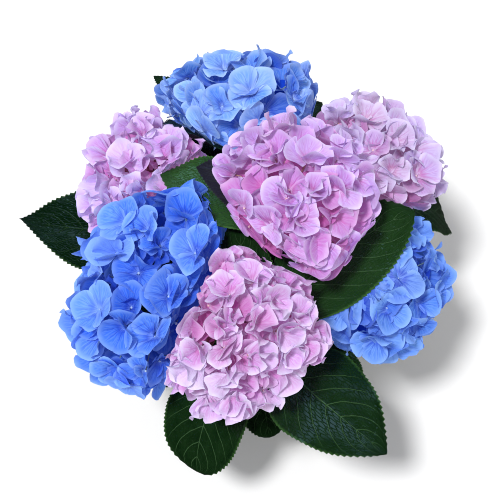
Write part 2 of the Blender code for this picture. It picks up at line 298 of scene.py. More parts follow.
def blade_effect() -> bpy.types.NodeTree:
    """The pattern of a leaf: midrib, curving side veins, a net of fine ones between, and its margin.

    Returns:
        The node group.
    """
    made = Effect(
        "Blade pattern",
        {"Place": "Vector", "Veins": "Float", "Sweep": "Float"},
        {"Vein": "Float", "Net": "Float", "Margin": "Float", "Cloud": "Float"},
    )
    g, inside = made.graph, made.inside
    split = g.node("SeparateXYZ", None, {0: inside["Place"]}).outputs
    side = g.math("MULTIPLY_ADD", split[0], 2.0, -1.0)
    off = g.math("ABSOLUTE", side)
    along = split[1]
    swept = g.math("MULTIPLY", g.math("POWER", off, 1.2), inside["Sweep"])
    cloud = g.noise(inside["Place"], 9.0, 3.0)
    lag = g.math("MULTIPLY_ADD", g.math("SUBTRACT", cloud, 0.5), 0.022, g.math("SUBTRACT", along, swept))
    phase = g.math("MULTIPLY", lag, inside["Veins"])
    near = g.math("PINGPONG", phase, 0.5)
    lateral = g.math("SUBTRACT", 1.0, g.smooth(near, 0.012, 0.060))
    lateral = g.math("MULTIPLY", lateral, g.math("SUBTRACT", 1.0, g.smooth(off, 0.55, 1.0)))
    taper = g.math("MULTIPLY_ADD", along, -0.022, 0.034)
    midrib = g.math("SUBTRACT", 1.0, g.math("DIVIDE", off, taper))
    vein = g.math("MAXIMUM", lateral, g.smooth(midrib, 0.0, 0.7))
    meshed = {0: g.math("MULTIPLY", side, 15.0), 1: g.math("MULTIPLY", phase, 2.4)}
    spot = g.node("CombineXYZ", None, meshed)
    cell = g.node("TexVoronoi", {"feature": "DISTANCE_TO_EDGE", "voronoi_dimensions": "2D"},
                  {"Vector": spot.outputs[0], "Scale": 1.0, "Randomness": 0.75}).outputs[0]
    net = g.math("SUBTRACT", 1.0, g.smooth(cell, 0.0, 0.16))
    margin = g.smooth(off, 0.93, 1.0)
    return made.put(Vein=vein, Net=net, Margin=margin, Cloud=cloud)


def bark_effect() -> bpy.types.NodeTree:
    """The pattern of old wood: long strips, cracks and small pale pores.

    Returns:
        The node group.
    """
    made = Effect("Bark pattern", {"Place": "Vector"}, {"Strip": "Float", "Pore": "Float"})
    g, inside = made.graph, made.inside
    drawn = g.node("Mapping", None, {"Vector": inside["Place"], "Scale": (1.0, 1.0, 0.16)}).outputs[0]
    strip = g.noise(drawn, 420.0, 6.0)
    pore = g.node("TexVoronoi", None, {"Vector": inside["Place"], "Scale": 260.0}).outputs[0]
    return made.put(Strip=strip, Pore=g.math("SUBTRACT", 1.0, g.smooth(pore, 0.05, 0.22)))


class Effects:
    """The node groups, each built once."""

    def __init__(self) -> None:
        """Builds them."""
        self.petal = petal_effect()
        self.blade = blade_effect()
        self.bark = bark_effect()


def new_material(name: str) -> tuple[bpy.types.Material, Graph, bpy.types.Node]:
    """An empty material with its Principled shader.

    Args:
        name: the material's name.

    Returns:
        The material, its graph and its shader.
    """
    material = bpy.data.materials.new(name)
    material.use_nodes = True
    return material, Graph(material.node_tree), material.node_tree.nodes["Principled BSDF"]


@dataclass(frozen=True)
class PetalFinish:
    """The finish of one head's sepals."""

    name: str
    body: Colour
    throat: Colour
    rim: Colour
    vein: Colour
    aged: Colour
    vein_share: float = 0.5
    roughness: float = 0.55
    painted_glow: float = 0.17
    relief: float = 0.0006

    def material(self, effects: Effects) -> bpy.types.Material:
        """Builds it.

        Args:
            effects: the shared node groups.

        Returns:
            The material.
        """
        material, g, shader = new_material(self.name)
        place = g.node("UVMap", {"uv_map": PETAL_MAP}).outputs[0]
        tone = g.node("Attribute", {"attribute_name": TONE}).outputs["Fac"]
        age = g.node("Attribute", {"attribute_name": AGE}).outputs["Fac"]
        petal = g.group(effects.petal, {
            "Place": place, "Tone": tone, "Age": age, "Body": self.body, "Throat": self.throat,
            "Rim": self.rim, "Vein": self.vein, "Aged": self.aged, "Vein Share": self.vein_share,
        }).outputs
        raised = {"Strength": 0.6, "Distance": self.relief, "Height": petal["Height"]}
        bump = g.node("Bump", None, raised)
        g.feed(shader.inputs["Base Color"], petal["Colour"])
        g.feed(shader.inputs["Normal"], bump.outputs[0])
        shader.inputs["Roughness"].default_value = self.roughness
        # Painted light: the sepals glow faintly in their own colour. This stands in for light shining
        # through them and lifts their shaded parts.
        g.feed(shader.inputs["Emission Color"], petal["Colour"])
        shader.inputs["Emission Strength"].default_value = self.painted_glow
        shader.inputs["Specular IOR Level"].default_value = 0.1
        return material


@dataclass(frozen=True)
class BladeFinish:
    """The finish of one side of the leaves."""

    name: str
    deep: Colour
    fresh: Colour
    vein: Colour
    margin: Colour
    vein_share: float
    vein_rise: float
    roughness: float
    gloss: float
    veins: float = 8.0
    sweep: float = 0.34

    def material(self, effects: Effects) -> bpy.types.Material:
        """Builds it.

        Args:
            effects: the shared node groups.

        Returns:
            The material.
        """
        material, g, shader = new_material(self.name)
        place = g.node("UVMap", {"uv_map": BLADE_MAP}).outputs[0]
        tone = g.node("Attribute", {"attribute_name": TONE}).outputs["Fac"]
        inputs = {"Place": place, "Veins": self.veins, "Sweep": self.sweep}
        blade = g.group(effects.blade, inputs).outputs
        fresh = g.math("MULTIPLY_ADD", g.math("SUBTRACT", blade["Cloud"], 0.5), 0.16, tone)
        colour = g.mix(g.math("MAXIMUM", fresh, 0.0), self.deep, self.fresh)
        colour = g.mix(g.math("MULTIPLY", blade["Net"], 0.03), colour, self.vein)
        lit = g.math("MULTIPLY_ADD", g.smooth(tone, 0.0, 0.06), 0.65, 0.35)
        lit = g.math("MULTIPLY", lit, g.math("MULTIPLY", blade["Vein"], self.vein_share))
        colour = g.mix(lit, colour, self.vein)
        edge = g.math("MULTIPLY", blade["Margin"], g.math("MULTIPLY_ADD", tone, 0.9, 0.25))
        colour = g.mix(edge, colour, self.margin)
        rise = g.math("MULTIPLY", blade["Vein"], self.vein_rise)
        rise = g.math("ADD", rise, g.math("MULTIPLY", blade["Net"], self.vein_rise * 0.5))
        bump = g.node("Bump", None, {"Strength": 0.8, "Distance": 0.0013, "Height": rise})
        rough = g.math("MULTIPLY_ADD", blade["Cloud"], 0.16, self.roughness - 0.08)
        g.feed(shader.inputs["Base Color"], colour)
        g.feed(shader.inputs["Roughness"], rough)
        g.feed(shader.inputs["Normal"], bump.outputs[0])
        shader.inputs["Specular IOR Level"].default_value = self.gloss
        return material


@dataclass(frozen=True)
class WoodFinish:
    """The finish of bark and of green stems."""

    name: str
    dark: Colour
    light: Colour
    pore: Colour
    relief: float
    roughness: float

    def material(self, effects: Effects) -> bpy.types.Material:
        """Builds it.

        Args:
            effects: the shared node groups.

        Returns:
            The material.
        """
        material, g, shader = new_material(self.name)
        place = g.node("TexCoord").outputs["Object"]
        bark = g.group(effects.bark, {"Place": place}).outputs
        colour = g.mix(g.smooth(bark["Strip"], 0.32, 0.68), self.dark, self.light)
        colour = g.mix(g.math("MULTIPLY", bark["Pore"], 0.5), colour, self.pore)
        bump = g.node("Bump", None, {"Strength": 0.8, "Distance": self.relief, "Height": bark["Strip"]})
        g.feed(shader.inputs["Base Color"], colour)
        g.feed(shader.inputs["Normal"], bump.outputs[0])
        shader.inputs["Roughness"].default_value = self.roughness
        return material


@dataclass(frozen=True)
class HeartFinish:
    """The finish of the beads in the middle of the florets."""

    name: str
    tip: Colour
    root: Colour

    def material(self) -> bpy.types.Material:
        """Builds it, paler in spots.

        Returns:
            The material.
        """
        material, g, shader = new_material(self.name)
        speck = g.noise(g.node("TexCoord").outputs["Object"], 900.0, 2.0)
        g.feed(shader.inputs["Base Color"], g.mix(g.smooth(speck, 0.35, 0.65), self.root, self.tip))
        shader.inputs["Roughness"].default_value = 0.45
        return material


BLUE_PETAL = PetalFinish(
    "Blue sepals", body=(0.052, 0.185, 0.760), throat=(0.006, 0.032, 0.420), rim=(0.240, 0.410, 0.860),
    vein=(0.016, 0.065, 0.480), aged=(0.250, 0.210, 0.560), vein_share=0.60,
)
PINK_PETAL = PetalFinish(
    "Pink sepals", body=(0.470, 0.245, 0.620), throat=(0.480, 0.105, 0.370), rim=(0.640, 0.570, 0.830),
    vein=(0.420, 0.085, 0.370), aged=(0.560, 0.400, 0.370), vein_share=0.50,
)
PETALS = {
    "blue_back": replace(BLUE_PETAL, name="Sky sepals", body=(0.085, 0.258, 0.700),
                         throat=(0.008, 0.045, 0.420), rim=(0.380, 0.540, 0.870)),
    "pink_left": replace(PINK_PETAL, name="Mauve sepals", body=(0.520, 0.320, 0.690),
                         rim=(0.630, 0.580, 0.820)),
    "pink_centre": PINK_PETAL,
    "pink_right": replace(PINK_PETAL, name="Pale sepals", body=(0.405, 0.278, 0.560),
                          throat=(0.430, 0.120, 0.330), rim=(0.610, 0.570, 0.780)),
    "blue_left": BLUE_PETAL,
    "pink_front": replace(PINK_PETAL, name="Rose sepals", body=(0.530, 0.250, 0.580),
                          rim=(0.640, 0.610, 0.800)),
    "blue_right": replace(BLUE_PETAL, name="Dusky sepals", body=(0.090, 0.230, 0.640)),
}
HEARTS = {
    Family.BLUE: HeartFinish("Blue floret hearts", tip=(0.50, 0.62, 0.78), root=(0.22, 0.36, 0.66)),
    Family.PINK: HeartFinish("Pink floret hearts", tip=(0.82, 0.66, 0.62), root=(0.66, 0.36, 0.44)),
}
BLADE_TOP = BladeFinish(
    "Leaf upper side", deep=(0.0012, 0.0105, 0.0020), fresh=(0.050, 0.160, 0.036),
    vein=(0.070, 0.155, 0.060), margin=(0.080, 0.210, 0.045),
    vein_share=0.50, vein_rise=-1.0, roughness=0.30, gloss=0.22,
)
# Painted shade: the deep colour, which most of each underside takes, is the dark purple grey of an
# underside in shade. The paler grey green fresh colour is nearer its own.
BLADE_UNDER = BladeFinish(
    "Leaf underside", deep=(0.018, 0.017, 0.030), fresh=(0.200, 0.270, 0.140),
    vein=(0.120, 0.150, 0.090), margin=(0.090, 0.150, 0.060),
    vein_share=0.55, vein_rise=1.0, roughness=0.62, gloss=0.2,
)
PEDICELS = {
    Family.BLUE: WoodFinish("Blue pedicels", dark=(0.10, 0.17, 0.22), light=(0.20, 0.30, 0.36),
                            pore=(0.3, 0.4, 0.5), relief=0.0001, roughness=0.6),
    Family.PINK: WoodFinish("Pink pedicels", dark=(0.34, 0.16, 0.15), light=(0.50, 0.32, 0.26),
                            pore=(0.6, 0.4, 0.4), relief=0.0001, roughness=0.6),
}
OLD_BARK = WoodFinish("Foot bark", dark=(0.060, 0.040, 0.026), light=(0.240, 0.175, 0.115),
                      pore=(0.30, 0.24, 0.17), relief=0.0016, roughness=0.86)
CANE_BARK = WoodFinish("Cane bark", dark=(0.130, 0.085, 0.050), light=(0.330, 0.240, 0.150),
                       pore=(0.42, 0.33, 0.22), relief=0.0006, roughness=0.74)
GREEN_STEM = WoodFinish("Green stems", dark=(0.070, 0.125, 0.030), light=(0.140, 0.220, 0.060),
                        pore=(0.22, 0.24, 0.10), relief=0.0002, roughness=0.52)


# ---------------------------------------------------------------------------------------------------
# Meshes


def heading(degrees: float) -> Vector:
    """The level unit vector of an azimuth in degrees."""
    angle = math.radians(degrees)
    return Vector((math.cos(angle), math.sin(angle), 0))


def grid_of(across: int, along: int, count: int = 1) -> tuple[bmesh.types.BMesh, np.ndarray]:
    """Copies of a flat grid in one mesh, one after another.

    Args:
        across: how many faces lie side by side.
        along: how many rows there are.
        count: how many copies.

    Returns:
        The mesh, and the places of one copy's corners, from -1 to 1 both ways.
    """
    bm = bmesh.new()
    bmesh.ops.create_grid(bm, x_segments=across, y_segments=along, size=1)
    places = np.array([vertex.co.xy for vertex in bm.verts])
    repeat(bm, count)
    return bm, places


def repeat(bm: bmesh.types.BMesh, count: int) -> None:
    """Repeats what a mesh holds, copy after copy, until it is there count times.

    Args:
        bm: the mesh.
        count: how many copies there are at the end, with the first.
    """
    one = (len(bm.verts), len(bm.edges), len(bm.faces))
    there = 1
    while there < count:
        more = min(there, count - there)
        taken = [part[:size * more] for part, size in zip((bm.verts, bm.edges, bm.faces), one)]
        bmesh.ops.duplicate(bm, geom=taken[0] + taken[1] + taken[2])
        there += more


def move(bm: bmesh.types.BMesh, points: np.ndarray) -> None:
    """Moves the corners of a mesh to points, in order."""
    for vertex, point in zip(bm.verts, points.reshape(-1, 3)):
        vertex.co = point


def tubes(lines: np.ndarray, radii: np.ndarray, sides: int) -> bmesh.types.BMesh:
    """Wraps a grid round each of several lines as closed tubes that narrow to a point at each end.

    Args:
        lines: the points of each line.
        radii: the tube's radius at each point.
        sides: how many faces go round.

    Returns:
        The mesh.
    """
    lines = np.concatenate((lines[:, :1], lines, lines[:, -1:]), 1)
    radii = np.pad(radii, ((0, 0), (1, 1)))
    stops = radii.shape[1]
    ahead = np.concatenate((lines[:, 1:], lines[:, -1:]), 1)
    behind = np.concatenate((lines[:, :1], lines[:, :-1]), 1)
    along = ahead - behind
    along[:, 0], along[:, -1] = along[:, 1], along[:, -2]
    along /= np.linalg.norm(along, axis=2, keepdims=True)
    bm, places = grid_of(sides, stops - 1, len(lines))
    row = np.rint((places[:, 1] + 1) / 2 * (stops - 1)).astype(int)
    angle = -math.pi * places[:, 0][None, :, None]
    side = np.cross(along[:, 0], np.array((0.31, 0.48, -0.82)))
    rings = []
    for stop in range(stops):
        side = side - along[:, stop] * (side * along[:, stop]).sum(1, keepdims=True)
        side /= np.linalg.norm(side, axis=1, keepdims=True)
        rings.append((side, np.cross(along[:, stop], side)))
    sides_at = np.stack([ring[0] for ring in rings], 1)[:, row]
    ups_at = np.stack([ring[1] for ring in rings], 1)[:, row]
    round_it = sides_at * np.cos(angle) + ups_at * np.sin(angle)
    move(bm, lines[:, row] + round_it * radii[:, row][..., None])
    bmesh.ops.remove_doubles(bm, verts=bm.verts, dist=WELD)
    return bm


def link_object(name: str, data: bpy.types.ID) -> bpy.types.Object:
    """Adds an object to the scene.

    Args:
        name: the object's name.
        data: its mesh, light or camera.

    Returns:
        The object.
    """
    made = bpy.data.objects.new(name, data)
    bpy.context.scene.collection.objects.link(made)
    return made


def new_piece(name: str, bm: bmesh.types.BMesh,
              materials: Sequence[bpy.types.Material]) -> bpy.types.Object:
    """Turns a bmesh into a smooth piece of the scene.

    Args:
        name: the piece's name.
        bm: its mesh, which is freed.
        materials: its materials, in the order of its faces' numbers.

    Returns:
        The piece.
    """
    for face in bm.faces:
        face.smooth = True
    mesh = bpy.data.meshes.new(name)
    bm.to_mesh(mesh)
    bm.free()
    for material in materials:
        mesh.materials.append(material)
    return link_object(name, mesh)


def settle(piece: bpy.types.Object, slot: Slot, *nodes: str) -> bpy.types.Object:
    """Puts a piece on the shrub's body, in place of the solids that it stands for.

    Args:
        piece: the piece.
        slot: not used.
        nodes: the solids that it replaces.

    Returns:
        The piece.
    """
    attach(piece, BODY)
    if nodes:
        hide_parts(*nodes)
    LOG.info("%s: %d faces", piece.name, len(piece.data.polygons))
    return piece


def write_map(mesh: bpy.types.Mesh, name: str, places: np.ndarray) -> None:
    """Writes a UV map from one place for each corner of a mesh.

    Args:
        mesh: the mesh.
        name: the map's name.
        places: the places.
    """
    corners = np.zeros(len(mesh.loops), np.int32)
    mesh.loops.foreach_get("vertex_index", corners)
    layer = mesh.uv_layers.new(name=name)
    layer.data.foreach_set("uv", places.reshape(-1, 2)[corners].astype(np.float32).ravel())


def write_values(mesh: bpy.types.Mesh, name: str, values: np.ndarray) -> None:
    """Writes an attribute of the vertices.

    Args:
        mesh: the mesh.
        name: the attribute's name.
        values: a value for each vertex.
    """
    mesh.attributes.new(name, "FLOAT", "POINT").data.foreach_set("value", values.astype(np.float32))


def bake_cells(square: np.ndarray, count: int, tall: float, margin: float) -> np.ndarray:
    """Gives each of several copies of a square its own cell of the bake map.

    Args:
        square: the corners' places in the square, from 0 to 1.
        count: how many cells there are.
        tall: how much taller than wide a copy is.
        margin: each cell's empty border, as a share of its size.

    Returns:
        The places of every copy's corners.
    """
    columns = math.ceil(math.sqrt(count * tall))
    size = np.array((1 / columns, 1 / math.ceil(count / columns)))
    numbers = np.arange(count)
    corners = np.stack((numbers % columns, numbers // columns), 1) * size
    return corners[:, None] + (margin + square * (1 - 2 * margin))[None] * size


# ---------------------------------------------------------------------------------------------------
# The woody foot


@dataclass
class Foot:
    """The woody foot: a turned stump with a root flare, ridged and leaning a little."""

    height: float = 0.058
    shoulder: float = 0.040
    flare_radius: float = 0.031
    neck_radius: float = 0.0165
    lean: Vector = field(default_factory=lambda: Vector((0.004, 0.002, 0.0)))
    ridges: int = 5
    ridge_depth: float = 0.13
    steps: int = 96
    rings: int = 40
    relief: float = 0.0013
    strips: int = 7
    smooth_ends: tuple[float, float] = (0.02, 0.97)

    def profile(self) -> list[tuple[float, float]]:
        """The turned outline, as radius and height."""
        return [
            (self.flare_radius, 0.0), (self.flare_radius * 0.80, 0.006),
            (self.neck_radius * 1.22, 0.017), (self.neck_radius, 0.028),
            (self.neck_radius * 1.06, self.shoulder), (self.neck_radius * 0.78, self.height * 0.90),
            (self.neck_radius * 0.34, self.height),
        ]

    def build(self, effects: Effects) -> bpy.types.Object:
        """Turns the foot and gives it bark relief.

        Args:
            effects: the shared node groups.

        Returns:
            The piece.
        """
        outline = self.profile()
        heights = np.linspace(0, self.height, self.rings)
        radii = np.interp(heights, [h for _, h in outline], [r for r, _ in outline])
        bm = bmesh.new()
        line = [bm.verts.new((r, 0, h)) for r, h in zip(radii, heights)]
        edges = [bm.edges.new(pair) for pair in zip(line, line[1:])]
        bmesh.ops.spin(bm, geom=line + edges, axis=(0, 0, 1), cent=(0, 0, 0), angle=math.tau,
                       steps=self.steps, use_merge=True)
        bmesh.ops.remove_doubles(bm, verts=bm.verts, dist=WELD)
        bmesh.ops.holes_fill(bm, edges=bm.edges, sides=0)
        dice = random.Random("bark strips")
        strips = [(dice.randint(7, 31), dice.uniform(0, math.tau), dice.uniform(20, 90))
                  for _ in range(self.strips)]
        for vertex in bm.verts:
            height = vertex.co.z / self.height
            angle = math.atan2(vertex.co.y, vertex.co.x)
            ridge = 1 + self.ridge_depth * math.cos(self.ridges * angle) * (1 - min(height, 1)) ** 2
            rough = sum(math.sin(n * angle + turn + rise * vertex.co.z) for n, turn, rise in strips)
            if self.smooth_ends[0] < height < self.smooth_ends[1]:
                ridge += rough * self.relief / self.neck_radius / 3
            vertex.co.x *= ridge
            vertex.co.y *= ridge
            vertex.co += self.lean * height
        bmesh.ops.recalc_face_normals(bm, faces=bm.faces)
        return settle(new_piece("foot_bark", bm, [OLD_BARK.material(effects)]), Slot.BARK, "trunk")


# ---------------------------------------------------------------------------------------------------
# The space of the flower heads


@dataclass(frozen=True)
class Habit:
    """How the florets of a head lie.

    lift and spread are the sepals' angle over the floret's plane and its scatter, and tilt is the
    floret's own, in degrees. cup and ruffle are millimetres. spacing and length are the metres between
    florets and along a sepal, and reach is how far out the florets sit, as a share of the ball. fold is
    how sharply the sepals are creased along their middle, and lobes how uneven their outline is.
    """

    lift: float
    spread: float
    tilt: float
    cup: float
    ruffle: float
    spacing: float
    length: float
    reach: float
    fold: float
    lobes: float


CALM = Habit(lift=-1, spread=15, tilt=13, cup=2.4, ruffle=2.1,
             spacing=0.0320, length=0.0280, reach=0.91, fold=0.18, lobes=0.03)
SHINGLED = Habit(lift=-8, spread=14, tilt=10, cup=2.0, ruffle=2.4,
                 spacing=0.0300, length=0.0280, reach=0.92, fold=0.16, lobes=0.03)
OPEN = Habit(lift=6, spread=23, tilt=15, cup=2.7, ruffle=2.6,
             spacing=0.0305, length=0.0278, reach=0.89, fold=0.24, lobes=0.05)
PACKED = Habit(lift=12, spread=24, tilt=15, cup=2.6, ruffle=2.8,
               spacing=0.0262, length=0.0248, reach=0.90, fold=0.26, lobes=0.05)
FRILLED = Habit(lift=26, spread=27, tilt=18, cup=3.2, ruffle=3.4,
                spacing=0.0264, length=0.0266, reach=0.86, fold=0.34, lobes=0.07)
CRUMPLED = Habit(lift=24, spread=26, tilt=19, cup=3.6, ruffle=3.8,
                 spacing=0.0266, length=0.0276, reach=0.86, fold=0.34, lobes=0.06)


@dataclass
class Head:
    """The space that one flower head holds: a flattened ball, cut flat where it meets its neighbours.

    half_long, half_short, top and bottom are the ball's four reaches, turn is its long side's azimuth,
    lean is how far it leans outward and first_pair is the azimuth of its topmost leaf pair. The florets
    hold the share fill of that ball, and drift is how far off its middle they sit. They are paler the
    way that fade points, on the level. This is partly the head's own paler side and partly painted light
    on the side that the light falls on, with painted shade on the far side. trims are upright planes
    that the florets keep behind, each an azimuth and a distance.
    """

    name: str
    family: Family
    habit: Habit
    centre: tuple[float, float, float]
    half_long: float
    half_short: float
    top: float
    bottom: float
    turn: float
    lean: float
    first_pair: float
    tone: float = 0.0
    age: float = 0.0
    fill: float = 0.9
    drift: tuple[float, float, float] = (0.0, 0.0, 0.0)
    # Partly painted light and shade: the level direction in which the florets are painted paler.
    fade: tuple[float, float] = (0.0, 0.0)
    trims: tuple[tuple[float, float], ...] = ()

    def __post_init__(self) -> None:
        """Works out the head's own directions."""
        self.middle = Vector(self.centre)
        self.bloom = self.middle + Vector(self.drift)
        self.outward = Vector((self.middle.x, self.middle.y, 0)).normalized()
        lean = math.radians(self.lean)
        self.axis = self.outward * math.sin(lean) + UP * math.cos(lean)
        side = self.axis.cross(heading(self.turn)).normalized()
        self.frame = np.array((side.cross(self.axis), side, self.axis))
        self.size = (self.half_long * self.half_short * self.top) ** (1 / 3) * self.fill
        self.planes = [(np.array(heading(azimuth)), offset) for azimuth, offset in self.trims]

    def sizes(self, heights: np.ndarray) -> np.ndarray:
        """The ball's half sizes for points above or below its equator.

        Args:
            heights: the points' heights over the equator.

        Returns:
            The three half sizes at each.
        """
        made = np.empty((*np.shape(heights), 3))
        made[..., 0], made[..., 1] = self.half_long, self.half_short
        made[..., 2] = np.where(heights > 0, self.top, self.bottom)
        return made * self.fill

    def place(self, units: np.ndarray, shares: np.ndarray | float = 1.0) -> np.ndarray:
        """The points that points of the unit ball stand for, at a share of the ball's size."""
        local = units * self.sizes(units[..., 2]) * np.asarray(shares)[..., None]
        return np.array(self.bloom) + local @ self.frame

    def unplace(self, points: np.ndarray) -> tuple[np.ndarray, np.ndarray]:
        """The points of the unit ball that points stand for.

        Args:
            points: the points.

        Returns:
            The points of the unit ball, and the shares of the ball's size.
        """
        local = (points - np.array(self.bloom)) @ self.frame.T
        scaled = local / self.sizes(local[..., 2])
        shares = np.maximum(np.sqrt((scaled * scaled).sum(-1)), 1e-9)
        return scaled / shares[..., None], shares

    def normal(self, unit: np.ndarray) -> Vector:
        """The ball's outward direction at a point of the unit ball."""
        return Vector((unit / self.sizes(unit[2])) @ self.frame).normalized()

    def reach(self, direction: Vector) -> float:
        """The ball's radius in a direction."""
        local = self.frame @ np.array(direction.normalized())
        return float(1 / np.linalg.norm(local / self.sizes(local[2])))

    def pressed(self, points: np.ndarray, shy: float = 0.0) -> np.ndarray:
        """Points moved back out of the neighbours' space, the more gently the further they are from it.

        Args:
            points: the points.
            shy: how much further off the neighbours they keep.

        Returns:
            The moved points.
        """
        moved = points.copy()
        for normal, offset in self.planes:
            past = (moved - np.array(self.bloom)) @ normal - offset + shy + PARTING_EASE
            kept = PARTING_EASE * (1 - np.exp(-np.maximum(past, 0) / PARTING_EASE))
            moved -= normal * (np.maximum(past, 0) - kept)[..., None]
        return moved

    def facing(self, unit: np.ndarray, spot: np.ndarray) -> Vector:
        """The way that a floret faces: outward, but turned away from a neighbour that it is close to.

        Args:
            unit: its direction on the unit ball.
            spot: its place before it is pressed.

        Returns:
            The direction.
        """
        way = np.array(self.normal(unit))
        for normal, offset in self.planes:
            past = float((spot - np.array(self.bloom)) @ normal) - offset + PARTING_EASE
            crowd = min(max(past / PARTING_EASE, 0.0), 1.5) * 0.6
            way = way - normal * max(float(way @ normal), 0.0) * crowd
        return Vector(way).normalized()

    def stem_point(self, share: float, foot: Foot) -> Vector:
        """A point of the head's stem: a curve from the foot, out and then up, into the head.

        Args:
            share: how far along the stem.
            foot: the foot that it springs from.

        Returns:
            The point.
        """
        central = self.name == CENTRAL_HEAD
        start = foot.lean * 0.8 + self.outward * (0 if central else foot.neck_radius * 0.45)
        start.z = foot.shoulder * (1 if central else 0.72)
        end = self.middle - self.axis * self.bottom * 0.3
        bend = start + (end - start) * 0.60
        bend.z = start.z + (end.z - start.z) * 0.42
        rest = 1 - share
        return start * rest * rest + bend * 2 * rest * share + end * share * share


CENTRAL_HEAD = "pink_centre"
EVERY_HEAD = "every head"
HEAD_GAP = 0.0020
PARTING_EASE = 0.013  # how far before a parting plane the florets begin to give way
NEAR_HEADS = 0.0255  # with a wider gap than this between their balls, heads need no parting plane

HEADS = [
    Head("blue_back", Family.BLUE, CALM, (-0.018, 0.140, 0.330),
         half_long=0.088, half_short=0.074, top=0.055, bottom=0.042,
         turn=0, lean=40, first_pair=172,
         tone=0.1, age=0.12, fill=0.95, drift=(-0.006, -0.005, 0.0), fade=(-0.30, 0.0),
         trims=((-5, 0.088), (90, 0.070), (125, 0.079))),
    Head("pink_left", Family.PINK, CRUMPLED, (-0.124, 0.052, 0.325),
         half_long=0.076, half_short=0.074, top=0.058, bottom=0.044,
         turn=60, lean=26, first_pair=112,
         tone=0.05, fill=0.89, drift=(0.007, 0.007, 0.0), fade=(-0.15, -0.1)),
    Head("pink_centre", Family.PINK, OPEN, (0.041, 0.000, 0.388),
         half_long=0.093, half_short=0.088, top=0.066, bottom=0.048,
         turn=110, lean=4, first_pair=75,
         age=0.05, fill=0.87, drift=(-0.002, -0.005, 0.003), fade=(0.12, 0.25),
         trims=((-42, 0.080), (-137, 0.060))),
    Head("pink_right", Family.PINK, PACKED, (0.124, 0.072, 0.333),
         half_long=0.076, half_short=0.074, top=0.058, bottom=0.044,
         turn=110, lean=26, first_pair=62,
         tone=0.1, age=0.15, fill=0.88, drift=(-0.005, -0.006, 0.0), fade=(0.1, 0.1)),
    Head("blue_left", Family.BLUE, CALM, (-0.112, -0.080, 0.340),
         half_long=0.114, half_short=0.084, top=0.064, bottom=0.047,
         turn=71, lean=16, first_pair=196,
         fill=0.96, drift=(0.014, 0.006, -0.004), fade=(-0.3, 0.0),
         trims=((-4, 0.060), (-105, 0.117))),
    Head("pink_front", Family.PINK, FRILLED, (-0.014, -0.126, 0.340),
         half_long=0.086, half_short=0.084, top=0.065, bottom=0.048,
         turn=0, lean=16, first_pair=232,
         age=0.08, fill=0.93, drift=(-0.008, 0.005, 0.004), fade=(0.15, -0.45)),
    # Painted shade: blue_right's tone of -0.1 deepens the whole head for the shade of the leaf that lies
    # over it.
    Head("blue_right", Family.BLUE, SHINGLED, (0.130, -0.054, 0.288),
         half_long=0.086, half_short=0.079, top=0.056, bottom=0.044,
         turn=120, lean=22, first_pair=8,
         tone=-0.1, age=0.05, fill=0.88, drift=(-0.011, 0.011, 0.0), fade=(0.2, -0.2)),
]


def part_neighbours(heads: Sequence[Head]) -> None:
    """Gives each two heads that come near each other the plane that parts them.

    Args:
        heads: all the heads.
    """
    for first in heads:
        for second in heads:
            between = second.bloom - first.bloom
            span = between.length
            if first is second or span >= first.half_long + second.half_long + NEAR_HEADS:
                continue
            mine, theirs = first.reach(between), second.reach(-between)
            offset = (span * span + mine * mine - theirs * theirs) / (2 * span)
            first.planes.append((np.array(between.normalized()), offset - HEAD_GAP))


# ---------------------------------------------------------------------------------------------------
# Leaves


@dataclass(frozen=True)
class Lie:
    """How one leaf lies; the angles are in degrees, and a negative droop bends upward.

    bow is how far its middle swings to its left, blunt how its tip narrows (the less, the rounder), and
    under names the head whose florets may lie over it, where those of the others are held under it.
    """

    head: str
    share: float
    azimuth: float
    rise: float
    droop: float
    length: float
    roll: float
    aspect: float
    tone: float = 0.15
    bow: float = 0.0
    blunt: float = 0.95
    under: str = ""

    def midrib(self, root: Vector, distance: float, petiole: float) -> tuple[Vector, Vector, Vector]:
        """The midrib at a distance from the stem's centre.

        Args:
            root: the point on the stem.
            distance: the distance along the midrib.
            petiole: the length of the stalk before the blade.

        Returns:
            The point, and the leaf's sideways and upward there.
        """
        out, steps = heading(self.azimuth), 12
        point = root.copy()
        for step in range(steps + 1):
            bent = max(0.0, distance * step / steps - petiole) / self.length
            angle = math.radians(self.rise - self.droop * bent)
            along = out * math.cos(angle) + UP * math.sin(angle)
            if step < steps:
                point += along * distance / steps
        side = Matrix.Rotation(math.radians(self.roll), 3, along) @ UP.cross(out)
        point += UP.cross(out) * self.bow * 4 * bent * (1 - bent)
        return point, side, along.cross(side)


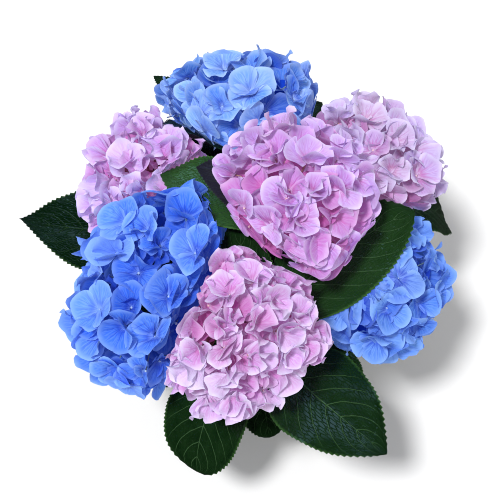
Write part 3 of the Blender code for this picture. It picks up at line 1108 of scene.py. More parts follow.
# The leaves that stand out: head, share, azimuth, rise, droop, length, roll, aspect and tone of the lie
# that the solids have, and what the finer leaf has otherwise.
SHOW_LEAVES: list[tuple[Lie, dict[str, float | str]]] = [
    (Lie("pink_front", 0.74, -42, 14, 34, 0.164, -6, 0.68, 0.05),
     {"aspect": 0.69, "bow": -0.005, "tone": 0.07}),
    (Lie("pink_front", 0.64, -108, 12, 62, 0.136, 4, 0.66, 0.06),
     {"azimuth": -113, "bow": -0.010, "blunt": 0.55, "aspect": 0.68}),
    (Lie("pink_front", 0.53, -80, 8, 44, 0.112, 0, 0.66, 0.06), {"length": 0.094, "blunt": 0.6}),
    (Lie("pink_left", 0.72, 176, 18, 36, 0.146, -6, 0.62, 0.03),
     {"length": 0.152, "bow": 0.012, "aspect": 0.70, "blunt": 1.30, "tone": 0.0}),
    (Lie("pink_front", 0.86, 33, 26, 16, 0.184, -3, 0.63, 0.18),
     {"aspect": 0.58, "blunt": 0.8, "roll": 12, "bow": 0.010}),
    (Lie("pink_centre", 0.86, 169, 34, 40, 0.130, 16, 0.60, 0.50),
     {"under": "blue_left", "aspect": 0.74, "azimuth": 165}),
    (Lie("pink_front", 0.82, 96, 61, 50, 0.116, 8, 0.57, 0.12), {}),
    (Lie("blue_back", 0.83, 195, 52, 0, 0.118, 40, 0.66, 0.10), {"aspect": 0.78}),
    (Lie("blue_back", 0.86, 135, 12, 45, 0.130, 6, 0.58, 0.08), {"aspect": 0.30}),
    (Lie("blue_back", 0.80, 46, 7, 53, 0.130, 0, 0.50, 0.06),
     {"aspect": 0.36, "azimuth": 48, "length": 0.119}),
    (Lie("pink_right", 0.80, 16, -8, 58, 0.130, -4, 0.65, 0.06),
     {"droop": 84, "aspect": 0.50, "length": 0.147, "azimuth": 10}),
]
# More leaves that show, one of them from below, which the solids are too coarse for.
SMALL_LEAVES = [
    Lie("pink_centre", 0.92, 160, 45, 62, 0.104, 166, 0.58, 0.0, under="blue_left"),
    Lie("blue_back", 0.84, 188, 2, 16, 0.080, 0, 0.80, 0.0, under=EVERY_HEAD),
]
# The paired leaves that hang tucked in under the heads, by head, pair and side.
TUCKED = {
    ("blue_right", 0, 0), ("pink_front", 0, 0), ("pink_left", 1, 0),
    ("blue_left", 0, 0), ("blue_left", 1, 0), ("blue_left", 2, 1),
}


@dataclass
class Foliage:
    """All the leaves: where each lies, and the fine blade, its teeth, quilting and stalk."""

    heads: Sequence[Head]
    foot: Foot
    pair_shares: tuple[float, ...] = (0.79, 0.67, 0.54, 0.42)
    pair_lengths: tuple[float, ...] = (0.112, 0.134, 0.138, 0.118)
    pair_rises: tuple[float, ...] = (20.0, 14.0, 6.0, 0.0)
    pair_droops: tuple[float, ...] = (46.0, 52.0, 50.0, 42.0)
    tries: int = 14
    tuck: float = 50.0
    tucked_length: float = 0.8
    filling: int = 7
    filling_shares: tuple[float, float] = (0.52, 0.82)
    filling_length: float = 0.080
    aspect: float = 0.64
    shoulder: float = 0.70
    petiole_share: float = 0.20
    petiole_radius: float = 0.0019
    fold: float = 11.0
    tip_match: float = 0.0002
    across: int = 14
    teeth: int = 32
    tooth_depth: float = 0.0009
    tooth_lead: float = 0.75
    quilting: float = 0.0014
    waviness: float = 0.0024
    waves: float = 2.6
    sag: float = 0.10
    thickness: float = 0.0007
    rib: float = 0.0013
    under_quilting: float = 0.35
    weld_gap: float = 2e-6
    stalk_sides: int = 10
    stalk_steps: int = 6

    def pairs(self, head: Head) -> Iterator[tuple[list[Lie], dict[str, float | str]]]:
        """The leaves that a stem bears in pairs, each pair across the one above it.

        Args:
            head: the stem's head.

        Yields:
            The leaf's tries in order, and what the finer leaf has otherwise.
        """
        for level, share in enumerate(self.pair_shares):
            for side in (0, 1):
                tries = []
                for attempt in range(self.tries):
                    dice = random.Random(f"{head.name} {level} {side} {attempt}")
                    azimuth = head.first_pair + 90 * level + 180 * side
                    tries.append(Lie(
                        head.name,
                        share,
                        azimuth + dice.uniform(-1, 1) * (8 + 4 * attempt),
                        self.pair_rises[level] + dice.uniform(-1, 1) * (3 + 2 * attempt),
                        self.pair_droops[level] + dice.uniform(-1, 1) * 8,
                        self.pair_lengths[level] * (1 - 0.025 * attempt) * dice.uniform(0.95, 1.05),
                        dice.uniform(-1, 1) * (6 + attempt),
                        self.aspect,
                        dice.uniform(0.10, 0.42),
                    ))
                tucked = {"droop": self.pair_droops[level] + self.tuck,
                          "length": self.pair_lengths[level] * self.tucked_length}
                yield tries, tucked if (head.name, level, side) in TUCKED else {}

    def place(self, head: Head) -> list[tuple[Lie, Vector]]:
        """Picks the lies whose tips the solids have.

        Args:
            head: the stem's head.

        Returns:
            The leaves of the stem, each with its root.
        """
        corners = frame["nodes"][f"foliage_{head.name}"].data.vertices
        tips = KDTree(len(corners))
        for number, corner in enumerate(corners):
            tips.insert(corner.co, number)
        tips.balance()
        placed = []
        shown = [([lie], changes) for lie, changes in SHOW_LEAVES if lie.head == head.name]
        for tries, changes in shown + list(self.pairs(head)):
            for lie in tries:
                root = head.stem_point(lie.share, self.foot)
                petiole = lie.length * self.petiole_share
                tip = lie.midrib(root, petiole + lie.length, petiole)[0]
                if tips.find(tip)[2] < self.tip_match:
                    placed.append((replace(lie, **changes), root))
                    break
        small = [(lie, head.stem_point(lie.share, self.foot)) for lie in SMALL_LEAVES
                  if lie.head == head.name]
        return placed + small + self.fill(head)

    def fill(self, head: Head) -> list[tuple[Lie, Vector]]:
        """The smaller leaves inside the shrub, which turn up a spiral round the stem.

        Args:
            head: the stem's head.

        Returns:
            The leaves, each with its root.
        """
        first, last = self.filling_shares
        filled = []
        for number in range(self.filling):
            dice = random.Random(f"{head.name} filling {number}")
            lie = Lie(
                head.name,
                first + (last - first) * number / (self.filling - 1),
                head.first_pair + 45 + math.degrees(GOLDEN_ANGLE) * number,
                dice.uniform(8, 22),
                dice.uniform(48, 70),
                self.filling_length * dice.uniform(0.85, 1.1),
                dice.uniform(-10, 10),
                self.aspect,
                dice.uniform(0.02, 0.24),
                under=EVERY_HEAD,
            )
            filled.append((lie, head.stem_point(lie.share, self.foot)))
        return filled

    def blade(self, lie: Lie, root: Vector) -> tuple[np.ndarray, np.ndarray]:
        """The two sides of one blade, which meet at its margin, row by row from the stalk.

        Args:
            lie: how it lies.
            root: its root on the stem.

        Returns:
            The points of the upper side and of the underside.
        """
        dice = random.Random(f"{lie.head} blade {lie.azimuth:.3f} {lie.length:.4f}")
        rows = 2 * self.teeth
        petiole, fold = lie.length * self.petiole_share, math.radians(self.fold)
        share = np.linspace(0, 1, rows + 1)[:, None]
        across = np.linspace(-1, 1, self.across + 1)[None]
        off = np.abs(across)
        line = [lie.midrib(root, petiole + float(s) * lie.length, petiole) for s in share[:, 0]]
        middle, side, up = (np.array([stop[part] for stop in line]) for part in range(3))
        widest = self.shoulder / (self.shoulder + lie.blunt)
        half = lie.length * lie.aspect * 0.5 * (share / widest) ** self.shoulder
        half = half * ((1 - share) / (1 - widest)) ** lie.blunt
        inside = np.minimum(1, 12 * share * (1 - share))
        broad = np.minimum(1, half / 0.02)
        out = np.arange(rows + 1)[:, None] % 2
        tooth = (1.35 * out - 0.35) * off**8 * inside * np.minimum(1, half / 0.012)
        reach = off * half + tooth * self.tooth_depth
        vein = (share - BLADE_TOP.sweep * off**1.2) * BLADE_TOP.veins
        quilt = (0.5 - 0.5 * np.cos(math.tau * vein)) * np.minimum(1, off * 6) * (1 - off**6)
        phase = np.where(across > 0, dice.uniform(0, math.tau), dice.uniform(0, math.tau))
        wave = np.sin(math.tau * self.waves * share + phase) * off**3
        rise = reach * math.sin(fold) - self.sag * half * off**2.5
        rise = rise + (self.quilting * quilt + self.waviness * wave) * broad
        lead = (self.tooth_lead * out * inside * off**8)[..., None]
        ahead = np.concatenate((middle[1:], middle[-1:]))[:, None] - middle[:, None]
        shift = np.sign(-across) * reach * math.cos(fold)
        top = middle[:, None] + ahead * lead + side[:, None] * shift[..., None]
        top = top + up[:, None] * rise[..., None]
        ends = np.minimum(1, 30 * share * (1 - share))
        depth = self.thickness * np.minimum(1, 8 * (1 - off)) * ends
        depth = depth + self.rib * np.maximum(0, 1 - off * 9) * (1.05 - share) * ends
        hollow = 0.5 + 0.5 * np.cos(math.tau * vein)
        depth = depth + self.quilting * self.under_quilting * hollow * (1 - off) * ends
        return top, top - up[:, None] * depth[..., None]

    def build(self, head: Head, materials: Sequence[bpy.types.Material]) -> list[tuple[str, np.ndarray]]:
        """Builds the leaves of one stem.

        Args:
            head: the stem's head.
            materials: the upper side's, the underside's and the stalks'.

        Returns:
            Of each blade, the head that it lies under and the points of its upper side.
        """
        leaves = self.place(head)
        blades = [self.blade(lie, root) for lie, root in leaves]
        sheets = np.array([sheet for blade in blades for sheet in blade])
        rows = 2 * self.teeth
        bm, places = grid_of(self.across, rows, len(sheets))
        column = np.rint((1 - places[:, 0]) / 2 * self.across).astype(int)
        row = np.rint((places[:, 1] + 1) / 2 * rows).astype(int)
        move(bm, sheets[:, row, column])
        each = self.across * rows
        for number, face in enumerate(bm.faces):
            face.material_index = number // each % 2
        bmesh.ops.reverse_faces(bm, faces=[face for face in bm.faces if face.material_index])
        made = new_piece(f"leaves_{head.name}", bm, materials)
        square = places / 2 + 0.5
        write_map(made.data, BLADE_MAP, np.tile(square, (len(sheets), 1)))
        write_map(made.data, BAKE_MAP, bake_cells(square, len(sheets), 1.6, 0.02))
        write_values(made.data, TONE, np.repeat([lie.tone for lie, _ in leaves], 2 * len(places)))
        self.weld(made, leaves)
        settle(made, Slot.LEAF, f"foliage_{head.name}")
        return [(lie.under, points) for (lie, _), points in zip(leaves, sheets[::2])]

    def weld(self, made: bpy.types.Object, leaves: Sequence[tuple[Lie, Vector]]) -> None:
        """Welds each blade's two sides at its margin and adds its stalk.

        Args:
            made: the piece.
            leaves: its leaves and their roots.
        """
        lines, radii = [], []
        for lie, root in leaves:
            petiole = lie.length * self.petiole_share
            steps = range(self.stalk_steps + 1)
            stops = [petiole * step / self.stalk_steps for step in steps] + [petiole + lie.length * 0.05]
            line = [lie.midrib(root, stop, petiole) for stop in stops]
            lines.append([point - up * STALK_TIP for point, _, up in line])
            radii.append([self.petiole_radius * (1.25 - 0.08 * step) for step in steps] + [STALK_TIP])
        stalks = tubes(np.array(lines), np.array(radii), self.stalk_sides)
        loose = bpy.data.meshes.new("stalks")
        for face in stalks.faces:
            face.smooth = True
            face.material_index = 2
        stalks.to_mesh(loose)
        stalks.free()
        bm = bmesh.new()
        bm.from_mesh(made.data)
        bmesh.ops.remove_doubles(bm, verts=bm.verts, dist=self.weld_gap)
        for edge in bm.edges:
            edge.smooth = len({face.material_index for face in edge.link_faces}) == 1
        bm.from_mesh(loose)
        bm.to_mesh(made.data)
        bm.free()
        bpy.data.meshes.remove(loose)


# ---------------------------------------------------------------------------------------------------
# Florets


class RestMap:
    """What lies on a head's ball so far, as a share of its size, over an equal-area map of directions.

    The floor is the top of what is laid, and the ceiling is the underside of the leaves above.
    """

    cells = 240
    leaf_margin = 3  # cells that a leaf's shade is widened by
    open_sky = 9.0  # the ceiling where no leaf is
    leaf_reach = 1.5  # leaves beyond this share of the ball's size press on nothing
    most_laid = 1.12  # a sepal that stands up further doesn't hold others off

    def __init__(self, head: Head, blades: np.ndarray) -> None:
        """Starts on a bare head under its leaves.

        Args:
            head: the head.
            blades: the points of all the blades, blade by blade, row by row.
        """
        self.head = head
        self.floor = np.zeros((self.cells, self.cells))
        self.ceiling = np.full((self.cells, self.cells), self.open_sky)
        between = (blades[:, :, 1:] + blades[:, :, :-1]) / 2
        units, shares = head.unplace(np.concatenate((blades.reshape(-1, 3), between.reshape(-1, 3))))
        close = shares < self.leaf_reach
        column, row = self.cell(units[close])
        steps = range(-self.leaf_margin, self.leaf_margin + 1)
        for step_x, step_y in [(x, y) for x in steps for y in steps]:
            spot = [np.clip(place + step, 0, self.cells - 1)
                    for place, step in ((column, step_x), (row, step_y))]
            np.minimum.at(self.ceiling, tuple(spot), shares[close])

    def cell(self, units: np.ndarray) -> tuple[np.ndarray, np.ndarray]:
        """The map's cell for each direction.

        Args:
            units: the directions, as points of the unit ball.

        Returns:
            The cells' columns and rows.
        """
        stretch = np.sqrt(2 / np.maximum(1 + units[..., 2], 1e-6))
        found = ((units[..., :2] * (stretch / 4)[..., None] + 0.5) * self.cells).astype(int)
        found = np.clip(found, 0, self.cells - 1)
        return found[..., 0], found[..., 1]

    def lack(self, points: np.ndarray) -> np.ndarray:
        """How far each point is below what is laid, as a share of the ball's size."""
        units, shares = self.head.unplace(points)
        return self.floor[self.cell(units)] - shares

    def under_leaves(self, points: np.ndarray, gap: float) -> np.ndarray:
        """Points moved in under the leaves above them.

        Args:
            points: the points.
            gap: the share of the ball's size left between.

        Returns:
            The moved points.
        """
        units, shares = self.head.unplace(points)
        most = self.ceiling[self.cell(units)] - gap
        lowered = self.head.place(units, np.minimum(shares, most))
        return np.where((shares > most)[..., None], lowered, points)

    def stamp(self, points: np.ndarray) -> None:
        """Adds points to what is laid."""
        units, shares = self.head.unplace(points)
        np.maximum.at(self.floor, self.cell(units), np.minimum(shares, self.most_laid))


@dataclass
class Sepal:
    """The shape of one sepal, in its floret's frame: x across, y outward, z up.

    shy is how much further than it must it keeps off the neighbouring heads. claw is the distance from
    the floret's middle to its root, claw_width its width there as a share of the whole, and broadest the
    share of its length where it is widest.
    """

    length: float
    width: float
    lift: float
    curl: float
    cup: float
    fold: float
    ruffle: float
    waves: int
    phase: float
    twist: float
    point: float
    lobes: float
    shy: float
    claw: float = 0.0009
    claw_width: float = 0.58
    broadest: float = 0.72
    tip_width: float = 0.30

    def lay(self, disc: np.ndarray, lifts: np.ndarray) -> np.ndarray:
        """Bends a round grid into the sepal.

        Args:
            disc: the points of a unit disc.
            lifts: the angles at which it may leave the floret's plane, in radians.

        Returns:
            The points at each lift.
        """
        turn = np.arctan2(disc[:, 0], disc[:, 1] + 1e-9)
        uneven = 1 + self.lobes * np.sin((self.waves + 1) * turn - self.phase) * (1 + np.cos(turn)) / 2
        across, level = disc[:, 0] * uneven, disc[:, 1] * uneven
        share = (level + 1) / 2
        share = share + self.point * share**3 * np.exp(-((across / self.tip_width) ** 2))
        swell = np.sin(np.minimum(share / self.broadest, 1) * math.pi / 2)
        wide = across * self.width * (self.claw_width + 0.42 * swell)
        lean = self.cup * (wide / self.width) ** 2 + self.fold * np.sqrt(wide**2 + 1e-6)
        lean += self.ruffle * (across**2 + level**2) ** 2 * np.sin(self.waves * turn + self.phase)
        lean += self.twist * wide * share
        lift = lifts[:, None]
        bend = lift + self.curl * share
        ahead = self.length * (np.sin(bend) - np.sin(lift)) / self.curl
        rise = self.length * (np.cos(lift) - np.cos(bend)) / self.curl
        out = self.claw + ahead - np.sin(bend) * lean
        return np.stack((np.broadcast_to(wide, out.shape), out, rise + np.cos(bend) * lean), -1)


@dataclass
class Floret:
    """Where a floret sits, its frame and size, its tone and age, and how steep its sepals stand.

    inner tells whether it lies under others, where it spreads flat and fills the gaps between them.
    """

    spot: np.ndarray
    facing: np.ndarray
    size: float
    tone: float
    age: float
    steep: float
    inner: bool


@dataclass
class Mophead:
    """One flower head: florets laid on its ball from the lowest up, each resting on those below.

    layers are, from the inside out, each layer's share of the ball's size, and what its florets' spacing
    and size are multiplied by. A floret is left out if it is buried deeper than most_buried, and raised
    from nearly_buried on. Gaps and burials are shares of the ball's size.
    """

    head: Head
    blades: np.ndarray
    across: int = 6
    along: int = 7
    finer: int = 3
    underside: float = -0.62
    most_pressed: float = 0.0105
    floret_shy: float = 0.005
    most_crossing: float = 0.0025
    clearance: float = 0.0006
    layers: tuple[tuple[float, float, float], ...] = (
        (0.68, 0.95, 0.88), (0.85, 0.96, 0.94), (1.0, 1.0, 1.0),
    )
    layer_turn: float = 1.7
    packing: float = 0.86
    height_scatter: float = 0.9
    turn_scatter: float = 0.22
    rise_scatter: float = 0.055
    floret_tones: float = 0.26
    # Painted shade: how far a floret's tone is deepened for each layer of florets over it.
    inner_painted_shade: float = 0.78
    steepening: float = 9.0
    floret_gap: float = 0.06
    sepal_gap: float = 0.035
    most_buried: float = 0.13
    nearly_buried: float = -0.01
    rise_over: float = 0.015
    most_raised: float = 0.08
    lifts: int = 12
    lift_step: float = 5.5
    lift_cost: float = 0.004
    clear_share: float = 0.93
    root_level: float = -0.45
    sepal_tones: float = 0.16

    def __post_init__(self) -> None:
        """Reads the sepal's round grids once."""
        self.rest = RestMap(self.head, self.blades)
        bm, self.square = grid_of(self.across, self.along)
        bm.free()
        fine_u = np.linspace(-1, 1, self.across * self.finer + 1)
        fine_v = np.linspace(-1, 1, self.along * self.finer + 1)
        fine = np.stack(np.meshgrid(fine_u, fine_v), -1).reshape(-1, 2)
        self.disc, self.fine = self.round_grid(self.square), self.round_grid(fine)

    @staticmethod
    def round_grid(square: np.ndarray) -> np.ndarray:
        """A square grid pulled into a disc."""
        u, v = square[:, 0], square[:, 1]
        return np.stack((u * np.sqrt(1 - v**2 / 2), v * np.sqrt(1 - u**2 / 2)), -1)

    def floret(self, unit: np.ndarray, share: float, size: float, dice: random.Random,
               inner: int, turn: float | None = None) -> Floret | None:
        """Seats one floret.

        Args:
            unit: its direction on the unit ball.
            share: how far out it sits, as a share of the ball's size.
            size: its size.
            dice: its draw.
            inner: how many layers lie over it.
            turn: its turn on its stalk in radians, or None to draw one.

        Returns:
            The floret, or None where it has no room.
        """
        spot = self.head.place(unit, share * self.head.habit.reach)
        pressed = self.head.pressed(spot, self.floret_shy)
        if unit[2] < self.underside or np.linalg.norm(pressed - spot) > self.most_pressed:
            return None
        facing = self.head.facing(unit, spot).to_track_quat("Z", "Y").to_matrix()
        spot = self.rest.under_leaves(pressed, self.floret_gap)
        for axis in "XY":
            facing = facing @ Matrix.Rotation(math.radians(dice.gauss(0, self.head.habit.tilt)), 3, axis)
        drawn = dice.uniform(0, math.tau)
        # Partly painted light and shade: the tone rises towards the side that the head's fade points to.
        # This is partly the head's own paler side and partly painted light where the light falls, with
        # painted shade on the far side.
        fade = float((unit @ self.head.frame)[:2] @ np.array(self.head.fade))
        facing = facing @ Matrix.Rotation(drawn if turn is None else turn, 3, "Z")
        # Painted shade: each layer of florets lying over this one deepens its tone, for the shade among
        # the inner florets.
        return Floret(
            spot=spot,
            facing=np.array(facing),
            size=size * dice.uniform(0.92, 1.08),
            tone=self.head.tone + fade + dice.gauss(0, self.floret_tones) - self.inner_painted_shade * inner,
            age=min(max(self.head.age * dice.uniform(0, 2) + dice.gauss(0, 0.08), 0), 1),
            steep=self.steepening * (1 - float(unit[2])),
            inner=inner > 0,
        )

    def spots(self) -> list[Floret]:
        """The places of the florets, the inner ones first.

        Returns:
            The florets that have room.
        """
        found: list[Floret] = []
        habit = self.head.habit
        for level, (share, wider, smaller) in enumerate(self.layers):
            across = (share * habit.reach * self.head.fill) ** 2
            across = across * self.head.half_long * self.head.half_short
            count = round(4 * math.pi * across * self.packing / (habit.spacing * wider) ** 2)
            row = []
            for number in range(count):
                dice = random.Random(f"{self.head.name} layer {level} floret {number}")
                scatter = dice.uniform(-1, 1) * self.height_scatter
                height = min(1.0, 1 - (2 * number + 1 + scatter) / count)
                angle = number * GOLDEN_ANGLE + level * self.layer_turn
                angle += dice.uniform(-1, 1) * self.turn_scatter
                ring = math.sqrt(1 - height * height)
                unit = np.array((math.cos(angle) * ring, math.sin(angle) * ring, height))
                rise = dice.uniform(-1, 1) * self.rise_scatter
                made = self.floret(unit, share + rise, smaller, dice, len(self.layers) - 1 - level)
                if made:
                    row.append((rise, number, made))
            found += [made for _, _, made in sorted(row, key=lambda item: item[:2])]
        return found

    def sepal(self, dice: random.Random, floret: Floret, second: bool) -> Sepal:
        """Draws the shape of one sepal.

        Args:
            dice: the draw.
            floret: its floret.
            second: whether it is one of the two that lie on the others.

        Returns:
            The shape.
        """
        habit = self.head.habit
        length = habit.length * floret.size * dice.uniform(0.92, 1.08)
        curl = math.radians(dice.gauss(-10, 24))
        lift = habit.lift * (0.2 if floret.inner else 1) + floret.steep
        spread = habit.spread * (0.5 if floret.inner else 1)
        return Sepal(
            length=length,
            width=length * dice.uniform(0.54, 0.64),
            lift=math.radians(dice.gauss(lift, spread) + (3 if second else 0)),
            curl=curl if abs(curl) > 1e-3 else 1e-3,
            cup=dice.gauss(0.2, 1.0) * habit.cup * 0.001,
            fold=dice.gauss(0.05, habit.fold),
            ruffle=abs(dice.gauss(0.8, 0.4)) * habit.ruffle * 0.001,
            waves=dice.choice((3, 4, 5)),
            phase=dice.uniform(0, math.tau),
            twist=dice.gauss(0, 0.16),
            point=dice.uniform(-0.03, 0.09),
            lobes=habit.lobes,
            shy=dice.uniform(-0.006, 0.009),
        )

    def lay_sepal(self, floret: Floret, shape: Sepal, turn: float) -> np.ndarray:
        """Lays one sepal on what is already there, lifted until it clears it.

        Args:
            floret: its floret.
            shape: its shape.
            turn: its direction round the floret, in radians.

        Returns:
            The points of its grid.
        """
        turned = floret.facing @ np.array(Matrix.Rotation(turn, 3, "Z"))

        def world(disc: np.ndarray, lifts: np.ndarray) -> np.ndarray:
            """The points of the sepal at each lift."""
            return floret.spot + shape.lay(disc, lifts) @ turned.T

        def kept(points: np.ndarray) -> np.ndarray:
            """The points held off the neighbours and the leaves."""
            return self.rest.under_leaves(self.head.pressed(points, shape.shy), self.sepal_gap)

        lifts = shape.lift + np.radians(np.arange(self.lifts) * self.lift_step)
        free = world(self.fine[self.fine[:, 1] > self.root_level], lifts)
        held = kept(free)
        crossing = np.linalg.norm(held - free, axis=2).mean(1) - self.most_crossing
        lack = np.sort(self.rest.lack(held), 1)[:, round(free.shape[1] * self.clear_share)]
        lack = lack + self.clearance / self.head.size
        fault = np.maximum(lack, 0) + np.maximum(crossing, 0) / self.head.size
        clear = np.flatnonzero(fault <= 0)
        least = int(np.argmin(fault + self.lift_cost * np.arange(self.lifts)))
        best = lifts[[clear[0] if len(clear) else least]]
        self.rest.stamp(kept(world(self.fine, best)))
        return kept(world(self.disc, best))[0]

    def build(self, material: bpy.types.Material) -> list[Floret]:
        """Lays all the sepals of the head and joins them as one piece.

        Args:
            material: the sepals' material.

        Returns:
            The florets.
        """
        laid, tones, ages, kept = [], [], [], []
        for number, floret in enumerate(self.spots()):
            dice = random.Random(f"{self.head.name} sepals {number}")
            lack = float(self.rest.lack(floret.spot[None])[0])
            if lack > self.most_buried:
                continue
            if lack > self.nearly_buried:
                unit, share = self.head.unplace(floret.spot)
                rise = min(lack + self.rise_over, self.most_raised)
                raised = self.head.place(unit, float(share) + rise)
                floret.spot = self.rest.under_leaves(raised, self.floret_gap)
            kept.append(floret)
            for quarter in (0, 2, 1, 3):
                shape = self.sepal(dice, floret, quarter in (1, 3))
                laid.append(self.lay_sepal(floret, shape, math.tau * quarter / 4 + dice.gauss(0, 0.09)))
                tones.append(floret.tone + dice.gauss(0, self.sepal_tones))
                ages.append(floret.age)
        bm, _ = grid_of(self.across, self.along, len(laid))
        move(bm, np.array(laid))
        made = new_piece(f"sepals_{self.head.name}", bm, [material])
        write_map(made.data, PETAL_MAP, np.tile(self.disc / 2 + 0.5, (len(laid), 1)))
        write_map(made.data, BAKE_MAP, bake_cells(self.square / 2 + 0.5, len(laid), 1.0, 0.05))
        write_values(made.data, TONE, np.repeat(tones, len(self.square)))
        write_values(made.data, AGE, np.repeat(ages, len(self.square)))
        settle(made, SEPAL_SLOTS[self.head.family], f"flower_head_{self.head.name}")
        return kept


@dataclass
class Hearts:
    """The small beads in the middle of the florets of one family."""

    family: Family
    radius: float = 0.0014
    cleft: float = 0.14
    squash: float = 0.8
    rise: float = 0.55

    def build(self, florets: Sequence[Floret]) -> bpy.types.Object:
        """Sets a bead in each floret.

        Args:
            florets: the florets.

        Returns:
            The piece.
        """
        bm = bmesh.new()
        bmesh.ops.create_icosphere(bm, subdivisions=2, radius=1)
        ball = np.array([vertex.co for vertex in bm.verts])
        angle = np.arctan2(ball[:, 1], ball[:, 0])
        cleft = 1 - self.cleft * np.maximum(0, ball[:, 2]) * np.abs(np.cos(2 * angle))
        upright = ball[:, 2] * self.squash + self.rise
        local = np.stack((ball[:, 0] * cleft, ball[:, 1] * cleft, upright), -1)
        dice = random.Random(f"{self.family.value} hearts")
        points = [floret.spot + local @ floret.facing.T * self.radius * dice.uniform(0.8, 1.15)
                  for floret in florets]
        repeat(bm, len(points))
        move(bm, np.array(points))
        made = new_piece(f"{self.family.value}_floret_hearts", bm, [HEARTS[self.family].material()])
        return settle(made, SEPAL_SLOTS[self.family])


# ---------------------------------------------------------------------------------------------------
# Stems


@dataclass
class Stems:
    """The canes, the green shoots above them and the small stalks inside the heads."""

    heads: Sequence[Head]
    foot: Foot
    root_radius: float = 0.0056
    tip_radius: float = 0.0028
    shoot_from: float = 0.34
    node_shares: tuple[float, ...] = (0.42, 0.54, 0.67, 0.79)
    swell: float = 0.28
    swell_length: float = 0.012
    sides: int = 12
    overlap: float = 0.004
    knot: float = 0.00012
    fork_share: float = 0.955
    branches: int = 13
    branch_cover: float = 1.45
    branch_reach: float = 0.36
    branch_sag: float = 0.003
    branch_radii: tuple[float, float, float] = (0.0020, 0.0016, 0.0012)
    pedicel_radius: float = 0.0008
    pedicel_sag: float = 0.004
    pedicel_sides: int = 6

    def lengths(self, first: float, last: float, stops: int) -> bmesh.types.BMesh:
        """One length of every stem, swollen at its leaf pairs.

        Args:
            first: the share of the stem where it starts.
            last: the share where it ends.
            stops: how many points it has.

        Returns:
            The mesh.
        """
        shares = np.linspace(first, last, stops)
        near = np.abs(shares[:, None] - np.array(self.node_shares)).min(1)
        radii = self.root_radius + (self.tip_radius - self.root_radius) * shares
        radii *= 1 + self.swell * np.exp(-((near / self.swell_length) ** 2))
        lines = [[head.stem_point(float(share), self.foot) for share in shares]
                 for head in self.heads]
        return tubes(np.array(lines), np.tile(radii, (len(lines), 1)), self.sides)

    def build_canes(self, effects: Effects) -> bpy.types.Object:
        """Builds the woody canes.

        Args:
            effects: the shared node groups.

        Returns:
            The piece.
        """
        bm = self.lengths(0.0, self.shoot_from + self.overlap, 30)
        dice = random.Random("cane knots")
        for vertex in bm.verts:
            vertex.co += Vector(dice.uniform(-1, 1) for _ in range(3)) * self.knot
        made = new_piece("canes_bark", bm, [CANE_BARK.material(effects)])
        return settle(made, Slot.CANE_BARK, *(f"cane_{head.name}" for head in self.heads))

    def build_shoots(self, effects: Effects) -> bpy.types.Object:
        """Builds the green shoots."""
        shoots = self.lengths(self.shoot_from, 1.0, 60)
        return settle(new_piece("green_shoots", shoots, [GREEN_STEM.material(effects)]), Slot.LEAF)

    def build_pedicels(self, family: Family, florets: dict[str, list[Floret]],
                       effects: Effects) -> bpy.types.Object:
        """Builds the branches in the heads of one family, and a stalk to each floret.

        Args:
            family: the family.
            florets: the florets of each head.
            effects: the shared node groups.

        Returns:
            The piece.
        """
        lines, radii = [], []
        number = np.arange(self.branches)
        height = 1 - self.branch_cover * (number + 0.5) / self.branches
        ring = np.sqrt(1 - height * height)
        turn = number * GOLDEN_ANGLE
        spread = np.stack((np.cos(turn) * ring, np.sin(turn) * ring, height), -1)
        for head in (head for head in self.heads if head.family is family):
            ends = head.place(spread, np.full(self.branches, self.branch_reach))
            start = np.array(head.stem_point(self.fork_share, self.foot))
            for end in ends:
                lines.append([start, (start + end) / 2 - np.array(head.axis) * self.branch_sag, end])
                radii.append(self.branch_radii)
            for floret in florets[head.name]:
                end = ends[np.argmin(np.linalg.norm(ends - floret.spot, axis=1))]
                up = floret.facing[:, 2]
                between = end * 0.4 + floret.spot * 0.6 - up * self.pedicel_sag
                lines.append([end, between, floret.spot - up * self.pedicel_radius])
                radii.append([self.pedicel_radius * 1.2, self.pedicel_radius, self.pedicel_radius])
        bm = tubes(np.array(lines), np.array(radii), self.pedicel_sides)
        made = new_piece(f"{family.value}_pedicels", bm, [PEDICELS[family].material(effects)])
        return settle(made, Slot.LEAF)


# ---------------------------------------------------------------------------------------------------
# Stage


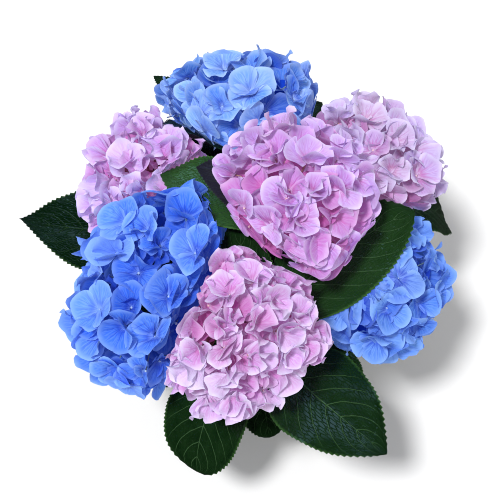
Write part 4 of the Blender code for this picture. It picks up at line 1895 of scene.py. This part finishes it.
@dataclass
class Studio:
    """The pale floor, the light and the camera.

    The light is an even sky, a soft key from the front left, and a soft box that only gloss mirrors.
    Away from the box, gloss mirrors black, as in a studio with dark walls, and it mirrors the floor dark
    too. box_edges are the cosines from the box's middle where it begins and is full.
    """

    target: tuple[float, float, float] = (-0.0095, -0.0305, 0.330)
    elevation: float = 65.0
    distance: float = 1.6
    lens: float = 110.0
    floor_size: float = 8.0
    floor_tones: tuple[float, float] = (0.80, 0.83)
    sky: float = 0.59
    sun: float = 2.75
    sun_azimuth: float = -134.0
    sun_elevation: float = 71.0
    sun_softness: float = 8.0
    box: float = 5.6
    box_colour: Colour = (0.44, 0.68, 1.0)
    box_azimuth: float = 70.0
    box_elevation: float = 38.0
    box_edges: tuple[float, float] = (0.80, 0.98)
    floor_mirrored: Colour = (0.06, 0.07, 0.06)

    def build(self) -> None:
        """Sets the stage."""
        bm, _ = grid_of(1, 1)
        bmesh.ops.scale(bm, vec=(self.floor_size, self.floor_size, 1), verts=bm.verts)
        material, g, shader = new_material("Pale floor")
        grain = g.noise(g.node("TexCoord").outputs["Object"], 3.0, 2.0)
        pale = g.mix(grain, *((tone, tone, tone) for tone in self.floor_tones))
        mirrored = g.node("LightPath").outputs["Is Glossy Ray"]
        g.feed(shader.inputs["Base Color"], g.mix(mirrored, pale, self.floor_mirrored))
        shader.inputs["Roughness"].default_value = 0.9
        shader.inputs["Specular IOR Level"].default_value = 0.1
        new_piece("floor", bm, [material])

        world = bpy.data.worlds.new("Soft studio")
        bpy.context.scene.world = world
        world.use_nodes = True
        g = Graph(world.node_tree)
        rise = math.radians(self.box_elevation)
        box = heading(self.box_azimuth) * math.cos(rise) + UP * math.sin(rise)
        way = g.node("TexCoord").outputs["Generated"]
        near = g.node("VectorMath", {"operation": "DOT_PRODUCT"}, {0: way, 1: tuple(box)})
        mirrored = g.math("MULTIPLY", g.smooth(near.outputs["Value"], *self.box_edges), self.box)
        gloss = g.node("LightPath").outputs["Is Glossy Ray"]
        level = g.node("Mix", {"data_type": "FLOAT"}, {0: gloss, 2: self.sky, 3: mirrored}).outputs[0]
        background = world.node_tree.nodes["Background"]
        g.feed(background.inputs[0], g.mix(gloss, (1, 1, 1), self.box_colour))
        g.feed(background.inputs[1], level)

        light = bpy.data.lights.new("Key", "SUN")
        light.energy = self.sun
        light.angle = math.radians(self.sun_softness)
        key = link_object("Key", light)
        key.visible_glossy = False
        rise = math.radians(self.sun_elevation)
        towards = heading(self.sun_azimuth) * math.cos(rise) + UP * math.sin(rise)
        key.rotation_euler = towards.to_track_quat("Z", "Y").to_euler()

        camera = bpy.data.cameras.new("Camera")
        camera.lens = self.lens
        camera.sensor_width = 36
        view = link_object("Camera", camera)
        rise = math.radians(self.elevation)
        back = Vector((0, -math.cos(rise), math.sin(rise)))
        view.location = Vector(self.target) + back * self.distance
        view.rotation_euler = back.to_track_quat("Z", "Y").to_euler()
        bpy.context.scene.camera = view
        bpy.context.scene.view_settings.view_transform = "Standard"
        bpy.context.scene.cycles.filter_width = 1.0


def main() -> None:
    """Builds the shrub from the foot up, then the stage."""
    logging.basicConfig(level=logging.INFO, format="%(name)s: %(message)s")
    effects = Effects()
    part_neighbours(HEADS)
    foot = Foot()
    foot.build(effects)
    stems = Stems(HEADS, foot)
    stems.build_canes(effects)
    stems.build_shoots(effects)
    foliage = Foliage(HEADS, foot)
    leaf_materials = [finish.material(effects) for finish in (BLADE_TOP, BLADE_UNDER, GREEN_STEM)]
    blades = [blade for head in HEADS for blade in foliage.build(head, leaf_materials)]
    florets: dict[str, list[Floret]] = {}
    for head in HEADS:
        above = [points for under, points in blades if under not in (head.name, EVERY_HEAD)]
        mophead = Mophead(head, np.array(above))
        florets[head.name] = mophead.build(PETALS[head.name].material(effects))
    for family in Family:
        heads = [head for head in HEADS if head.family is family]
        Hearts(family).build([floret for head in heads for floret in florets[head.name]])
        stems.build_pedicels(family, florets, effects)
    Studio().build()


if __name__ == "__main__":
    main()
